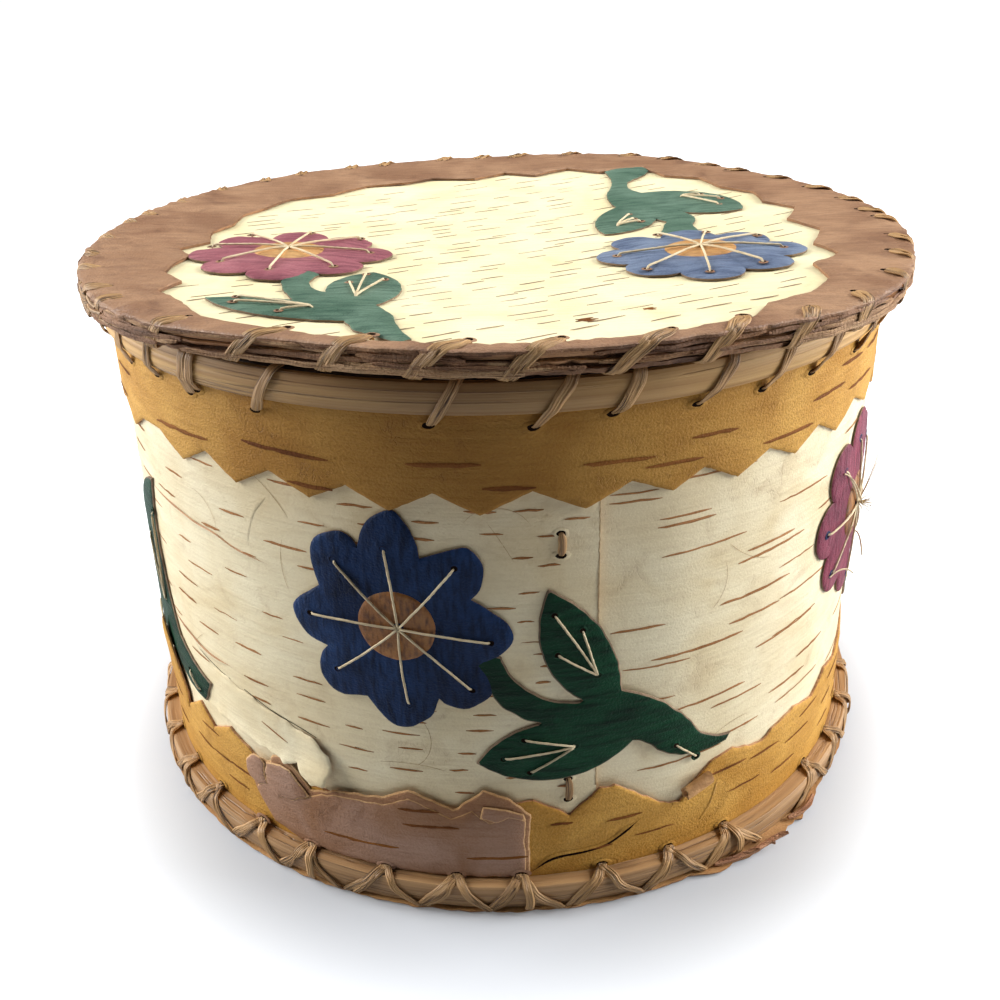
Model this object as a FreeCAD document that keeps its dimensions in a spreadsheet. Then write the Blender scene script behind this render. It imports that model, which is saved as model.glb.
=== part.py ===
import FreeCAD, Part
import Sketcher
import math
import os

from FreeCAD import Placement, Rotation, Vector

# Round birch bark box with a lift-off lid.
#
# Frame: +Z up, the origin on the axis of the box at the surface it stands on, -Y towards the
# side with the lapped seam. A turn is an angle about Z, counted from that front side towards +X.
# The wall is one bark sheet, bent to a tube and lapped on itself. Splint hoops
# clamp it at the rim and the foot, and split root is laced round them through awl holes.

doc = FreeCAD.newDocument("birch_bark_box")

# ------------------------------------------------------------------ driving dimensions (mm, deg)

SIZES = (
    ("wall_radius", 111.3),        # outside of the wall
    ("wall_top", 147.5),           # height of the wall's top edge
    ("wall_bark", 1.2),            # thickness of the wall sheet
    ("band_bark", 1.0),            # thickness of the two dressing bands
    ("patch_bark", 0.8),           # thickness of the patch over the lower band
    ("patch_turn", -14.5),         # turn of the patch's middle
    ("trim_bark", 0.8),            # thickness of flowers and leaves
    ("centre_bark", 0.6),          # thickness of the flower centres
    ("fit", 0.1),                  # gap between layers that lie on each other
    ("seam_turn", 12.0),           # turn of the cut edge of the wall's outer end
    ("seam_lap", 22.0),            # how far the wall's two ends overlap
    ("seam_ease", 24.0),           # length over which the wall steps in under the lap
    ("floor_bark", 2.0),           # thickness of the bottom disc
    ("floor_lip", 2.6),            # how far the bottom disc stands out past the foot hoop
    ("foot_hoop_tall", 7.5),       # height of the foot hoop
    ("foot_hoop_thick", 3.9),      # thickness of the foot hoop
    ("inner_hoop_thick", 2.6),     # thickness of the inner rim hoop
    ("rim_hoop_drop", 5.2),        # how far both rim hoops reach below the wall's top edge
    ("rim_hoop_tall", 7.7),        # height of both rim hoops
    ("rim_hoop_thick", 2.6),       # thickness of the outer rim hoop
    ("hoop_slope", 1.1),           # how far the hoops' edges slope away from the wall
    ("reed_wide", 3.6),            # width of the reed along the rim
    ("reed_tall", 3.0),            # height of the reed along the rim
    ("reed_lift", 0.25),           # gap between the reed and the wall's top edge
    ("root_thick", 0.5),           # thickness of the split root
    ("root_wide", 3.4),            # width of the split root
    ("awl_drop", 1.8),             # distance of the awl holes from the hoop that is laced
    ("seam_stitch", 7.0),          # height of the stitches beside the seam
    ("seam_stitch_drop", 13.0),    # distance of the upper one from the top band
    ("seam_stitch_sink", 8.0),     # distance of the lower one from the lower band's tips
    ("seam_stitch_gap", 7.5),      # distance of both from the seam
    ("rim_stitches", 36.0),        # root stitches round the rim
    ("rim_lean", 30.0),            # slant of a rim stitch from upright
    ("foot_stitches", 38.0),       # pairs of root stitches round the foot
    ("foot_lean", 33.0),           # slant of each of a pair
    ("dressing_turn", -7.8),       # turn of the bands, their teeth and the lacing
    ("teeth", 34.0),               # pointed teeth along each band
    ("top_band_deep", 29.5),       # how far the top band's teeth reach below the wall's top edge
    ("low_band_high", 38.0),       # highest points of the lower band
    ("tooth_deep", 5.0),           # depth of the notches between the teeth
    ("lid_overhang", 7.7),         # how far the lid reaches past the wall at the front
    ("lid_bark", 1.4),             # thickness of the lid's white disc
    ("lid_ring_bark", 1.2),        # thickness of the brown ring on top of it
    ("lid_under_bark", 1.2),       # thickness of the lid's lower ply at the back
    ("lid_slope", 0.68),           # slope of the lid's top, up towards the front
    ("lid_under_inset", 1.2),      # how far the lower ply stays inside the lid's outline
    ("lid_rest", 0.3),             # gap between the lid's lacing and the rim's
    ("lid_ring_wide", 28.0),       # width of the brown ring, out from its tooth tips
    ("lid_open_x", 2.0),           # centre of the brown ring's opening
    ("lid_open_y", -17.0),
    ("lid_teeth", 30.0),           # teeth round the brown ring
    ("lid_plain_turn", 42.0),      # turn to each side of the front where the ring has no teeth
    ("lid_stitches", 40.0),        # root stitches round the lid's edge
    ("lid_lean", 32.0),            # slant of a lid stitch
    ("lid_stitch_reach", 8.0),     # distance of the lid's awl holes from its edge
    ("flange_deep", 18.0),         # how far the lid's flange reaches into the box
    ("flange_bark", 1.2),          # thickness of the flange
    ("flange_gap", 0.8),           # running gap between the flange and the rim's lacing
    ("wall_flower", 28.6),         # reach of a flower's petals on the wall
    ("lid_flower", 28.0),          # reach of a flower's petals on the lid
    ("flower_centre", 9.7),        # radius of the flower centres
    ("flower_high", 86.7),         # height of the flowers' centres on the wall
)

sheet = doc.addObject("Spreadsheet::Sheet", "sizes")
for row, (alias, amount) in enumerate(SIZES, start=1):
    sheet.set("A%d" % row, alias)
    sheet.set("B%d" % row, str(amount))
    sheet.setAlias("B%d" % row, alias)
doc.recompute()


def size(text):
    """The number that a spreadsheet expression comes to."""
    return float(sheet.evalExpression(text))


PAST = 20                          # how far a cutting tool reaches past what it cuts

# Expressions that several pieces share.
WALL_FOOT = "(sizes.floor_bark + sizes.fit)"
FOOT_HOOP_TOP = "(%s + sizes.foot_hoop_tall)" % WALL_FOOT
RIM_HOOP_LOW = "(sizes.wall_top - sizes.rim_hoop_drop)"
RIM_HOOP_TOP = "(%s + sizes.rim_hoop_tall)" % RIM_HOOP_LOW
TOP_BAND_LOW = "(sizes.wall_top - sizes.top_band_deep)"
BAND_OUT = "(sizes.wall_radius + sizes.band_bark)"
RIM_OUTER_IN = "(%s + sizes.fit)" % BAND_OUT
RIM_OUTER_OUT = "(%s + sizes.rim_hoop_thick)" % RIM_OUTER_IN
RIM_INNER_OUT = "(sizes.wall_radius - 2 * sizes.wall_bark - 2 * sizes.fit)"
RIM_INNER_IN = "(%s - sizes.inner_hoop_thick)" % RIM_INNER_OUT
FOOT_HOOP_IN = "(%s + sizes.fit)" % BAND_OUT
FOOT_HOOP_OUT = "(%s + sizes.foot_hoop_thick)" % FOOT_HOOP_IN
REED_AXIS = "((%s + %s) / 2)" % (RIM_OUTER_IN, RIM_INNER_OUT)
REED_LOW = "(sizes.wall_top + sizes.reed_lift)"
REED_TOP = "(%s + sizes.reed_tall)" % REED_LOW
RIM_HOLE_HIGH = "(%s - sizes.awl_drop)" % RIM_HOOP_LOW
FOOT_HOLE_HIGH = "(%s + sizes.awl_drop)" % FOOT_HOOP_TOP
LACING_TOP = "(%s + sizes.fit + sizes.root_thick)" % REED_TOP
LID_UNDERSIDE = "(%s + sizes.lid_rest + sizes.root_thick + sizes.fit)" % LACING_TOP
LACING_INSIDE = "(%s - 3 * sizes.fit - sizes.root_thick)" % RIM_INNER_IN
FLANGE_OUT = "(%s - sizes.flange_gap)" % LACING_INSIDE
LID_RADIUS = "(sizes.wall_radius + sizes.lid_overhang)"

UP = Vector(0, 0, 1)
AXIS = Vector(0, 0, 0)


# ------------------------------------------------------------------ bodies from sketches

def body(label):
    made = doc.addObject("PartDesign::Body", label)
    made.Label = label
    return made


def origin_feature(owner, role):
    return next(item for item in owner.Origin.OriginFeatures if item.Role == role)


def profile(owner, name, plane, corners):
    """Closed sketch of straight sides whose corners are (across, up) expressions."""
    sketch = owner.newObject("Sketcher::SketchObject", name)
    sketch.AttachmentSupport = (origin_feature(owner, plane), [""])
    sketch.MapMode = "FlatFace"
    places = [Vector(size(across), size(up), 0) for across, up in corners]
    for start, end in zip(places, places[1:] + places[:1]):
        sketch.addGeometry(Part.LineSegment(start, end), False)
    last = len(corners) - 1
    for side in range(len(corners)):
        follower = 0 if side == last else side + 1
        sketch.addConstraint(Sketcher.Constraint("Coincident", side, 2, follower, 1))
    for side, (across, up) in enumerate(corners):
        for kind, text, number in (("DistanceX", across, places[side].x),
                                   ("DistanceY", up, places[side].y)):
            held = sketch.addConstraint(Sketcher.Constraint(kind, -1, 1, side, 1, number))
            held_name = "%s_%d" % ("across" if kind == "DistanceX" else "up", side)
            sketch.renameConstraint(held, held_name)
            sketch.setExpression("Constraints." + held_name, text)
    return sketch


def spun(owner, corners):
    """Ring turned about Z from a section in the XZ plane."""
    section = profile(owner, owner.Label + "_section", "XZ_Plane", corners)
    ring = owner.newObject("PartDesign::Revolution", owner.Label + "_ring")
    ring.Profile = section
    ring.ReferenceAxis = (section, ["V_Axis"])
    ring.Angle = 360
    section.Visibility = False
    return ring


def cut_round(owner, name, corners, count):
    """Opening through the front of a ring, repeated round the axis."""
    opening = profile(owner, name + "_outline", "XZ_Plane", corners)
    cut = owner.newObject("PartDesign::Pocket", name)
    cut.Profile = opening
    cut.Type = "Length"
    cut.setExpression("Length", "%s + %d" % (LID_RADIUS, PAST))
    cut.Reversed = True
    around = owner.newObject("PartDesign::PolarPattern", name + "_round")
    around.Originals = [cut]
    around.Axis = (origin_feature(owner, "Z_Axis"), [""])
    around.Angle = 360
    around.setExpression("Occurrences", count)
    owner.Tip = around
    doc.recompute()
    return around


def turned(piece, turn_text):
    """Turns a piece about the axis of the box."""
    piece.Placement = Placement(AXIS, Rotation(UP, size(turn_text)))


def band_corners(low, high):
    """Section of a dressing band that lies on the wall."""
    inside = "sizes.wall_radius + sizes.fit / 2"
    return ((inside, low), (BAND_OUT, low), (BAND_OUT, high), (inside, high))


def notch_corners(tip, root, past):
    """Triangle between two teeth: its point at root, its mouth open past the band's edge."""
    half = "(pi * sizes.wall_radius / sizes.teeth)"
    return (("0", root), (half, tip), (half, past), ("-" + half, past), ("-" + half, tip))


def make_bottom_disc():
    disc = body("bottom_disc")
    outline = disc.newObject("Sketcher::SketchObject", "bottom_disc_outline")
    outline.AttachmentSupport = (origin_feature(disc, "XY_Plane"), [""])
    outline.MapMode = "FlatFace"
    reach = "%s + sizes.floor_lip" % FOOT_HOOP_OUT
    outline.addGeometry(Part.Circle(AXIS, UP, size(reach)), False)
    outline.addConstraint(Sketcher.Constraint("Coincident", 0, 3, -1, 1))
    held = outline.addConstraint(Sketcher.Constraint("Radius", 0, size(reach)))
    outline.renameConstraint(held, "reach")
    outline.setExpression("Constraints.reach", reach)
    pad = disc.newObject("PartDesign::Pad", "bottom_disc_sheet")
    pad.Profile = outline
    pad.setExpression("Length", "sizes.floor_bark")
    return disc


def make_top_band():
    band = body("top_band")
    high = "(sizes.wall_top - sizes.fit)"
    spun(band, band_corners(TOP_BAND_LOW, high))
    doc.recompute()
    notch = notch_corners(TOP_BAND_LOW, TOP_BAND_LOW + " + sizes.tooth_deep",
                          "%s - %d" % (TOP_BAND_LOW, PAST))
    cut_round(band, "top_band_notch", notch, "sizes.teeth")
    turned(band, "sizes.dressing_turn")
    return band


def make_low_band():
    band = body("low_band")
    spun(band, band_corners(WALL_FOOT, "sizes.low_band_high"))
    doc.recompute()
    notch = notch_corners("sizes.low_band_high", "sizes.low_band_high - sizes.tooth_deep",
                          "sizes.low_band_high + %d" % PAST)
    cut_round(band, "low_band_notch", notch, "sizes.teeth")
    turned(band, "sizes.dressing_turn")
    return band


def make_hoops():
    """Splint hoops at the rim and the foot, the reed along the rim and the lid's flange."""
    slope = "sizes.hoop_slope"
    low, top = RIM_HOOP_LOW, RIM_HOOP_TOP
    spun(body("rim_outer_hoop"),
         ((RIM_OUTER_IN, low), (RIM_OUTER_OUT, "%s + %s" % (low, slope)),
          (RIM_OUTER_OUT, "%s - %s" % (top, slope)), (RIM_OUTER_IN, top)))
    spun(body("rim_inner_hoop"), ((RIM_INNER_IN, low), (RIM_INNER_OUT, low),
                                  (RIM_INNER_OUT, top), (RIM_INNER_IN, top)))
    spun(body("foot_hoop"),
         ((FOOT_HOOP_IN, WALL_FOOT), (FOOT_HOOP_OUT, WALL_FOOT),
          (FOOT_HOOP_OUT, "%s - %s" % (FOOT_HOOP_TOP, slope)), (FOOT_HOOP_IN, FOOT_HOOP_TOP)))
    reed_out = "(%s + sizes.reed_wide / 2)" % REED_AXIS
    reed_in = "(%s - sizes.reed_wide / 2)" % REED_AXIS
    crown_out, crown_in = reed_out + " - sizes.reed_wide / 4", reed_in + " + sizes.reed_wide / 4"
    spun(body("rim_reed"), ((reed_in, REED_LOW), (reed_out, REED_LOW),
                            (crown_out, REED_TOP), (crown_in, REED_TOP)))
    flange_in = "%s - sizes.flange_bark" % FLANGE_OUT
    flange_low = "%s - sizes.flange_deep" % LID_UNDERSIDE
    spun(body("lid_flange"), ((flange_in, flange_low), (FLANGE_OUT, flange_low),
                              (FLANGE_OUT, LID_UNDERSIDE), (flange_in, LID_UNDERSIDE)))


# ------------------------------------------------------------------ pieces with a free shape

def piece(label, shape, placement=None):
    made = doc.addObject("Part::Feature", label)
    made.Label = label
    made.Shape = shape
    if placement is not None:
        made.Placement = placement
    return made


def front_point(across, reach, high):
    """Point on the front of the box: across along X, reach out from the axis."""
    return Vector(across, -reach, high)


def prism(points, depth):
    """Solid between a closed outline and its copy moved by depth."""
    return Part.Face(Part.makePolygon(points + points[:1])).extrude(depth)


def joined(shapes):
    whole = shapes[0]
    for shape in shapes[1:]:
        whole = whole.fuse(shape)
    return whole.removeSplitter()


def ring_layer(low, high, inner, outer, from_turn=0.0, to_turn=360.0):
    """Ring on the wall between two heights and two turns, from inner to outer proud of it."""
    wall = size("sizes.wall_radius")
    rings = [Part.makeCylinder(wall + proud, high - low, Vector(0, 0, low), UP,
                               to_turn - from_turn) for proud in (outer, inner)]
    layer = rings[0].cut(rings[1])
    layer.rotate(AXIS, UP, from_turn - 90)
    return layer


def wall_slice(turn, inner, outer):
    """Upright section of the wall in the plane at a turn in degrees."""
    low, high, wall = size(WALL_FOOT), size("sizes.wall_top"), size("sizes.wall_radius")
    corners = [front_point(0, wall + outer, low), front_point(0, wall + outer, high),
               front_point(0, wall + inner, high), front_point(0, wall + inner, low)]
    section = Part.makePolygon(corners + corners[:1])
    section.rotate(AXIS, UP, turn)
    return section


def make_wall_sheet():
    """Tube of bark whose inner end steps in under the cut edge of the outer end."""
    low, high, bark = size(WALL_FOOT), size("sizes.wall_top"), size("sizes.wall_bark")
    under = -bark - size("sizes.fit") / 2
    edge = size("sizes.seam_turn")
    per_mm = math.degrees(1 / size("sizes.wall_radius"))
    eased = edge + size("sizes.seam_ease") * per_mm
    inner_end = edge - size("sizes.seam_lap") * per_mm
    parts = [ring_layer(low, high, -bark, 0.0, eased, edge + 360),
             ring_layer(low, high, under - bark, under, inner_end, edge)]
    steps = 4
    slices = [wall_slice(edge + (eased - edge) * step / steps, under * (1 - step / steps) - bark,
                         under * (1 - step / steps)) for step in range(steps + 1)]
    for near, far in zip(slices, slices[1:]):
        parts.append(Part.makeLoft([near, far], True, True))
    return piece("wall_sheet", joined(parts))


def stitch_turns(count_text):
    """Turns of the awl holes of one round of lacing."""
    count = int(round(size(count_text)))
    return [size("sizes.dressing_turn") + 360.0 * step / count for step in range(count)]


# ------------------------------------------------------------------ root lacing

def slanted_strap(corners, pivot, lean, wide):
    """Flat root bent along a profile of (reach, height) corners, leaning sideways as it rises."""
    slope = math.tan(math.radians(lean))
    points = [front_point((high - pivot) * slope - wide / 2, reach, high)
              for reach, high in corners]
    return prism(points, Vector(wide, 0, 0))


def make_rim_lacing():
    """Split root laced over both rim hoops and the reed, from awl hole to awl hole."""
    thick, gap, slope = size("sizes.root_thick"), size("sizes.fit"), size("sizes.hoop_slope")
    out, inner = size(RIM_OUTER_OUT) + gap, size(RIM_INNER_IN) - 3 * gap
    hole, crown = size(RIM_HOLE_HIGH), size(REED_TOP) + gap
    outer_bark = size(BAND_OUT) + gap
    inner_bark = size(RIM_INNER_OUT)
    low, top = size(RIM_HOOP_LOW), size(RIM_HOOP_TOP)
    reed, flat = size(REED_AXIS), size("sizes.reed_wide") / 3
    corners = [(outer_bark, hole), (out, low + slope - gap), (out, top - slope + gap),
               (reed + flat, crown), (reed - flat, crown), (inner, top + gap), (inner, low - gap),
               (inner_bark, hole), (inner - thick, low - thick), (inner - thick, top + thick),
               (reed - flat, crown + thick), (reed + flat, crown + thick),
               (out + thick, top - slope + thick), (out + thick, low + slope - thick)]
    lean = size("sizes.rim_lean")
    strap = slanted_strap(corners, (hole + crown) / 2, lean, size("sizes.root_wide"))
    across = (hole - crown) / 2 * math.tan(math.radians(lean))
    strap.rotate(AXIS, UP, -math.degrees(math.atan2(across, size(RIM_OUTER_OUT))))
    return piece("rim_lacing", placed_round(strap, stitch_turns("sizes.rim_stitches")))


def placed_round(shape, turns):
    """Separate copies of a shape, each turned about the axis."""
    copies = []
    for turn in turns:
        copy = shape.copy()
        copy.rotate(AXIS, UP, turn)
        copies.append(copy)
    return Part.makeCompound(copies)


def make_foot_lacing():
    """Pairs of root legs that spread from each awl hole, over the foot hoop, to the disc."""
    thick, gap = size("sizes.root_thick"), size("sizes.fit")
    out, hole = size(FOOT_HOOP_OUT) + gap, size(FOOT_HOLE_HIGH)
    floor, shoulder = size(WALL_FOOT), size("%s - sizes.hoop_slope" % FOOT_HOOP_TOP) + gap
    corners = [(size(BAND_OUT) + gap, hole), (out, shoulder), (out, floor),
               (out + thick, floor), (out + thick, shoulder + thick / 2)]
    lean, wide = size("sizes.foot_lean"), 0.8 * size("sizes.root_wide")
    pair = joined([slanted_strap(corners, hole, side * lean, wide) for side in (-1, 1)])
    return piece("foot_lacing", placed_round(pair, stitch_turns("sizes.foot_stitches")))


def make_seam_lacing():
    """Root stitches beside the wall's lapped edge, each flat on the bark."""
    gap, thick, half = size("sizes.fit"), size("sizes.root_thick"), size("sizes.root_wide") / 4
    aside = size("sizes.seam_stitch_gap") / size("sizes.wall_radius")
    turn, tall = size("sizes.seam_turn") - math.degrees(aside), size("sizes.seam_stitch")
    upper = size(TOP_BAND_LOW) - size("sizes.seam_stitch_drop")
    lower = size("sizes.low_band_high - sizes.seam_stitch_sink")
    stitches = []
    for low, lift in ((upper, gap), (lower, gap + size("sizes.band_bark"))):
        high = low + tall
        outline = [(-half, low), (half, low), (half, high), (-half, high)]
        stitch = cut_from(ring_layer(low, high, lift, lift + thick), outline)
        stitch.rotate(AXIS, UP, turn)
        stitches.append(stitch)
    return piece("seam_lacing", Part.makeCompound(stitches))


# ------------------------------------------------------------------ bark applique

# An outline is a start point and then steps round it. A step is a point to draw a straight edge
# to, or a pair of points: one that an arc passes through and the one that it ends at.

def edges_of(outline, place, cuts=0):
    """Edges of an outline, with place turning its flat (x, y) points into space.

    With cuts, each arc is drawn as that many straight knife cuts.
    """
    edges, last = [], outline[0]
    for step in outline[1:] + [outline[0]]:
        curved = isinstance(step[0], tuple)
        end = step[1] if curved else step
        if curved:
            arc = Part.Arc(place(last), place(step[0]), place(end))
            edges += Part.makePolygon(arc.discretize(cuts + 1)).Edges if cuts else [arc.toShape()]
        elif end != last:
            edges.append(Part.makeLine(place(last), place(end)))
        last = end
    return edges


def moved(outline, centre, share=1.0, pivot=(0.0, 0.0)):
    """Outline scaled by share about a pivot and then moved so that the pivot is at a centre."""
    def at(point):
        return tuple(mid + (value - start) * share
                     for mid, value, start in zip(centre, point, pivot))

    return [tuple(at(point) for point in step) if isinstance(step[0], tuple) else at(step)
            for step in outline]


def circle_outline(reach, quarters=4):
    """Circle drawn as four arcs."""
    def at(turn):
        return (reach * math.cos(turn), reach * math.sin(turn))

    share = 2 * math.pi / quarters
    steps = [at(0.0)]
    for quarter in range(quarters):
        end = at(0.0) if quarter == quarters - 1 else at((quarter + 1) * share)
        steps.append((at((quarter + 0.5) * share), end))
    return steps


def flower_outline(reach, petals, notch=0.76):
    """Round petals, each an arc between two notches that passes through its own tip."""
    count = len(petals)

    def at(turn, radius):
        return (radius * math.cos(turn), radius * math.sin(turn))

    notches = [at(math.pi / 2 - (2 * index - 1) * math.pi / count, notch * reach)
               for index in range(count)]
    steps = [notches[0]]
    for index, share in enumerate(petals):
        tip = at(math.pi / 2 - 2 * index * math.pi / count, reach * share)
        steps.append((tip, notches[(index + 1) % count]))
    return steps


NAVY_PETALS = (1.05, 0.93, 0.95, 0.99, 1.05, 1.01, 1.0, 1.02)
PLAIN_PETALS = (1.0, 0.97, 1.02, 0.98, 1.01, 0.96, 1.0, 1.02)

# Sprays of leaves on one stem. Those of the wall are drawn as (across, height) about their own
# turn, those of the lid as (x, y) on the lid.
LOW_SPRAY = [
    (-35.8, 82.0), (-28.2, 78.3), ((-20.8, 67.5), (-8.3, 63.7)), ((-18.8, 80.0), (-16.7, 96.8)),
    ((-3.0, 83.0), (1.8, 65.4)), ((15.7, 56.8), (24.2, 46.5)), ((29.2, 42.6), (36.0, 40.6)),
    (34.5, 38.6), ((20.7, 39.2), (12.2, 43.4)), ((9.0, 46.8), (5.2, 48.8)),
    ((-13.8, 40.0), (-35.3, 46.1)), ((-28.3, 54.2), (-18.9, 58.3)), ((-26.3, 61.8), (-31.3, 68.0)),
    (-38.0, 75.0),
]
TALL_SPRAY = [
    (-50.0, 86.0), (-42.0, 80.0), ((-31.0, 67.0), (-12.0, 61.0)), ((-9.0, 84.0), (15.6, 104.0)),
    ((10.5, 77.0), (17.0, 54.0)), ((22.5, 47.5), (29.5, 42.5)), (26.0, 39.5),
    ((18.0, 41.5), (8.0, 46.5)), ((-10.0, 39.0), (-29.0, 44.5)), ((-22.0, 51.6), (-12.0, 52.6)),
    ((-28.0, 61.0), (-39.0, 71.5)), (-48.0, 77.0),
]
RED_LID_SPRAY = [
    (-58.0, -42.0), (-55.3, -49.1), ((-52.9, -62.1), (-47.9, -74.6)),
    ((-59.5, -71.6), (-70.2, -71.9)), (-68.2, -75.0), ((-56.0, -86.2), (-34.0, -93.4)),
    (-30.9, -100.8), (-20.9, -113.0), (-17.7, -108.8), ((-21.4, -98.5), (-23.0, -89.6)),
    (-28.1, -79.1), ((-23.2, -63.0), (-31.5, -46.0)), ((-39.3, -52.0), (-41.4, -66.5)),
    ((-46.6, -59.0), (-45.8, -48.2)), (-48.0, -42.0),
]
BLUE_LID_SPRAY = [
    (36.0, 97.0), (38.0, 90.0), ((41.2, 73.0), (38.3, 50.9)), ((37.6, 40.0), (39.2, 28.9)),
    ((31.2, 12.0), (32.5, -6.5)), ((43.0, -1.0), (49.6, 10.5)), (52.1, 6.1), (48.0, -10.0),
    (60.0, -10.0), (59.2, 1.4), ((60.9, 11.0), (57.4, 19.3)), ((65.5, 14.6), (77.2, 16.5)),
    ((76.5, 32.0), (62.3, 47.4)), ((55.5, 48.6), (49.9, 47.4)), ((45.8, 57.5), (50.6, 70.9)),
    ((56.5, 84.0), (55.0, 100.7)),
]

# Motifs on the wall: colour, petals, turn of the flower, turn of the spray, spray.
WALL_MOTIFS = (
    ("navy", NAVY_PETALS, -12.7, 14.3, LOW_SPRAY),
    ("burgundy", PLAIN_PETALS, 63.7, 90.7, LOW_SPRAY),
    ("navy", NAVY_PETALS, 146.0, 173.0, LOW_SPRAY),
    ("burgundy", PLAIN_PETALS, -103.0, -66.0, TALL_SPRAY),
)
# Motifs on the lid: name, petals, flower centre, spray.
LID_MOTIFS = (
    ("lid_red", PLAIN_PETALS, (-57, -26), RED_LID_SPRAY),
    ("lid_blue", PLAIN_PETALS, (55.5, -36), BLUE_LID_SPRAY),
)
ROOM = 1.015                       # share by which a spray stays clear of its flower
WALL_PETAL_CUTS = 3                # straight cuts along each petal of a flower on the wall
LID_CUTS = 5                       # straight cuts along each curved side of shapes on the lid


def cut_from(layer, outline, cuts=0):
    """What an outline of (across, height) points cuts out of the front of a layer of bark."""
    deep = size("sizes.wall_radius")
    edges = edges_of(outline, lambda point: front_point(point[0], 1.2 * deep, point[1]), cuts)
    return Part.Face(Part.Wire(edges)).extrude(Vector(0, deep, 0)).common(layer)


def trim_layer(lift, thick):
    """Front half of a layer on the wall, for what is sewn on between the two bands."""
    low, room = size("sizes.low_band_high"), size("2 * sizes.fit")
    return ring_layer(low + room, size(TOP_BAND_LOW) - room, lift, lift + thick, -90, 90)


def wall_flower_outline(petals, share=1.0):
    middle = (0.0, size("sizes.flower_high"))
    return moved(flower_outline(size("sizes.wall_flower"), petals), middle, share)


def make_wall_flowers():
    """Flowers in two colours and their centres, sewn flat on the wall."""
    gap, bark = size("sizes.fit"), size("sizes.trim_bark")
    low, high = trim_layer(gap, bark), trim_layer(2 * gap + bark, size("sizes.centre_bark"))
    disc = moved(circle_outline(size("sizes.flower_centre")), (0.0, size("sizes.flower_high")))
    flowers = {"navy": [], "burgundy": []}
    centres = []
    for colour, petals, turn, spray_turn, spray in WALL_MOTIFS:
        flower = cut_from(low, wall_flower_outline(petals), WALL_PETAL_CUTS)
        centre = cut_from(high, disc)
        for shape in (flower, centre):
            shape.rotate(AXIS, UP, turn)
        flowers[colour].append(flower)
        centres.append(centre)
    for colour, shapes in flowers.items():
        piece(colour + "_flowers", Part.makeCompound(shapes))
    piece("wall_flower_centres", Part.makeCompound(centres))


def make_wall_sprays():
    """Stem and leaves beside each flower of the wall, cut clear of its petals."""
    gap, bark = size("sizes.fit"), size("sizes.trim_bark")
    layer, thicker = trim_layer(gap, bark), trim_layer(0.0, 3 * bark)
    sprays = []
    for colour, petals, turn, spray_turn, spray in WALL_MOTIFS:
        room = cut_from(thicker, wall_flower_outline(petals, ROOM), WALL_PETAL_CUTS)
        room.rotate(AXIS, UP, turn - spray_turn)
        leaves = cut_from(layer, spray).cut(room)
        leaves.rotate(AXIS, UP, spray_turn)
        sprays.append(leaves)
    return piece("wall_sprays", Part.makeCompound(sprays))


def make_patch():
    """Darker bark that mends the lower band left of the seam, slit where the lacing enters."""
    low = size(FOOT_HOOP_TOP) + 2 * size("sizes.fit")
    lift = size("sizes.band_bark") + 2 * size("sizes.fit")
    outline = [(-34.0, low), (33.5, low), (34.0, 28.7), (29.0, 34.5), (22.0, 37.5), (14.0, 31.0),
               (3.0, 36.0), (-4.0, 33.0), (-15.5, 31.8), (-27.3, 28.0), (-33.0, 35.4),
               (-38.3, 34.2), (-44.0, 31.6), ((-49.5, 24.0), (-42.0, 12.0))]
    layer = ring_layer(low, size("sizes.low_band_high"), lift, lift + size("sizes.patch_bark"))
    patch = cut_from(layer, outline)
    patch.rotate(AXIS, UP, size("sizes.patch_turn"))
    slits = [foot_slit(turn) for turn in stitch_turns("sizes.foot_stitches")]
    return piece("low_band_patch", patch.cut(Part.makeCompound(slits)))


def foot_slit(turn):
    """Room round the upper end of one pair of foot stitches."""
    wide, tall = 1.3 * size("sizes.root_wide"), size("sizes.awl_drop")
    reach = size("sizes.wall_radius")
    corner = Vector(-wide / 2, -reach - PAST, size(FOOT_HOLE_HIGH) - tall)
    slit = Part.makeBox(wide, 2 * PAST, 1.5 * tall, corner)
    slit.rotate(AXIS, UP, turn)
    return slit


# ------------------------------------------------------------------ lid

# How far the hand-cut edge of the lid stands out of (or falls short of) its mean reach, every
# 22.5 degrees from the front towards +X.
LID_EDGE = (0.0, 1.0, 5.0, 0.0, -2.5, -3.0, -1.5, 6.0, -1.0, -3.0, -2.5, -3.5, -3.0, -0.5, 2.5,
            -2.5)


def lid_edge_curve(inset=0.0):
    """Closed curve of the lid's outline."""
    reach = size(LID_RADIUS) - inset
    points = []
    for index, proud in enumerate(LID_EDGE):
        turn = 2 * math.pi * index / len(LID_EDGE)
        radius = reach + proud
        points.append(Vector(radius * math.sin(turn), -radius * math.cos(turn), 0))
    curve = Part.BSplineCurve()
    curve.interpolate(Points=points, PeriodicFlag=True)
    return curve


def lid_sheet(thick, inset=0.0):
    """Bark cut to the lid's outline, lying at z = 0. The outline is drawn as arcs."""
    arcs = [arc.toShape() for arc in lid_edge_curve(inset).toBiArcs(0.05)]
    return Part.Face(Part.Wire(arcs)).extrude(Vector(0, 0, thick))


def lid_slope_placement(lift=0.0):
    """Placement of what lies on the lid's sloping top, lift above its lower ply."""
    back = size(LID_RADIUS)
    slope = math.radians(size("sizes.lid_slope"))
    high = size(LID_UNDERSIDE) + size("sizes.lid_under_bark") + back * math.tan(slope) + lift
    return Placement(Vector(0, 0, high), Rotation(Vector(1, 0, 0), -size("sizes.lid_slope")))


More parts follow.
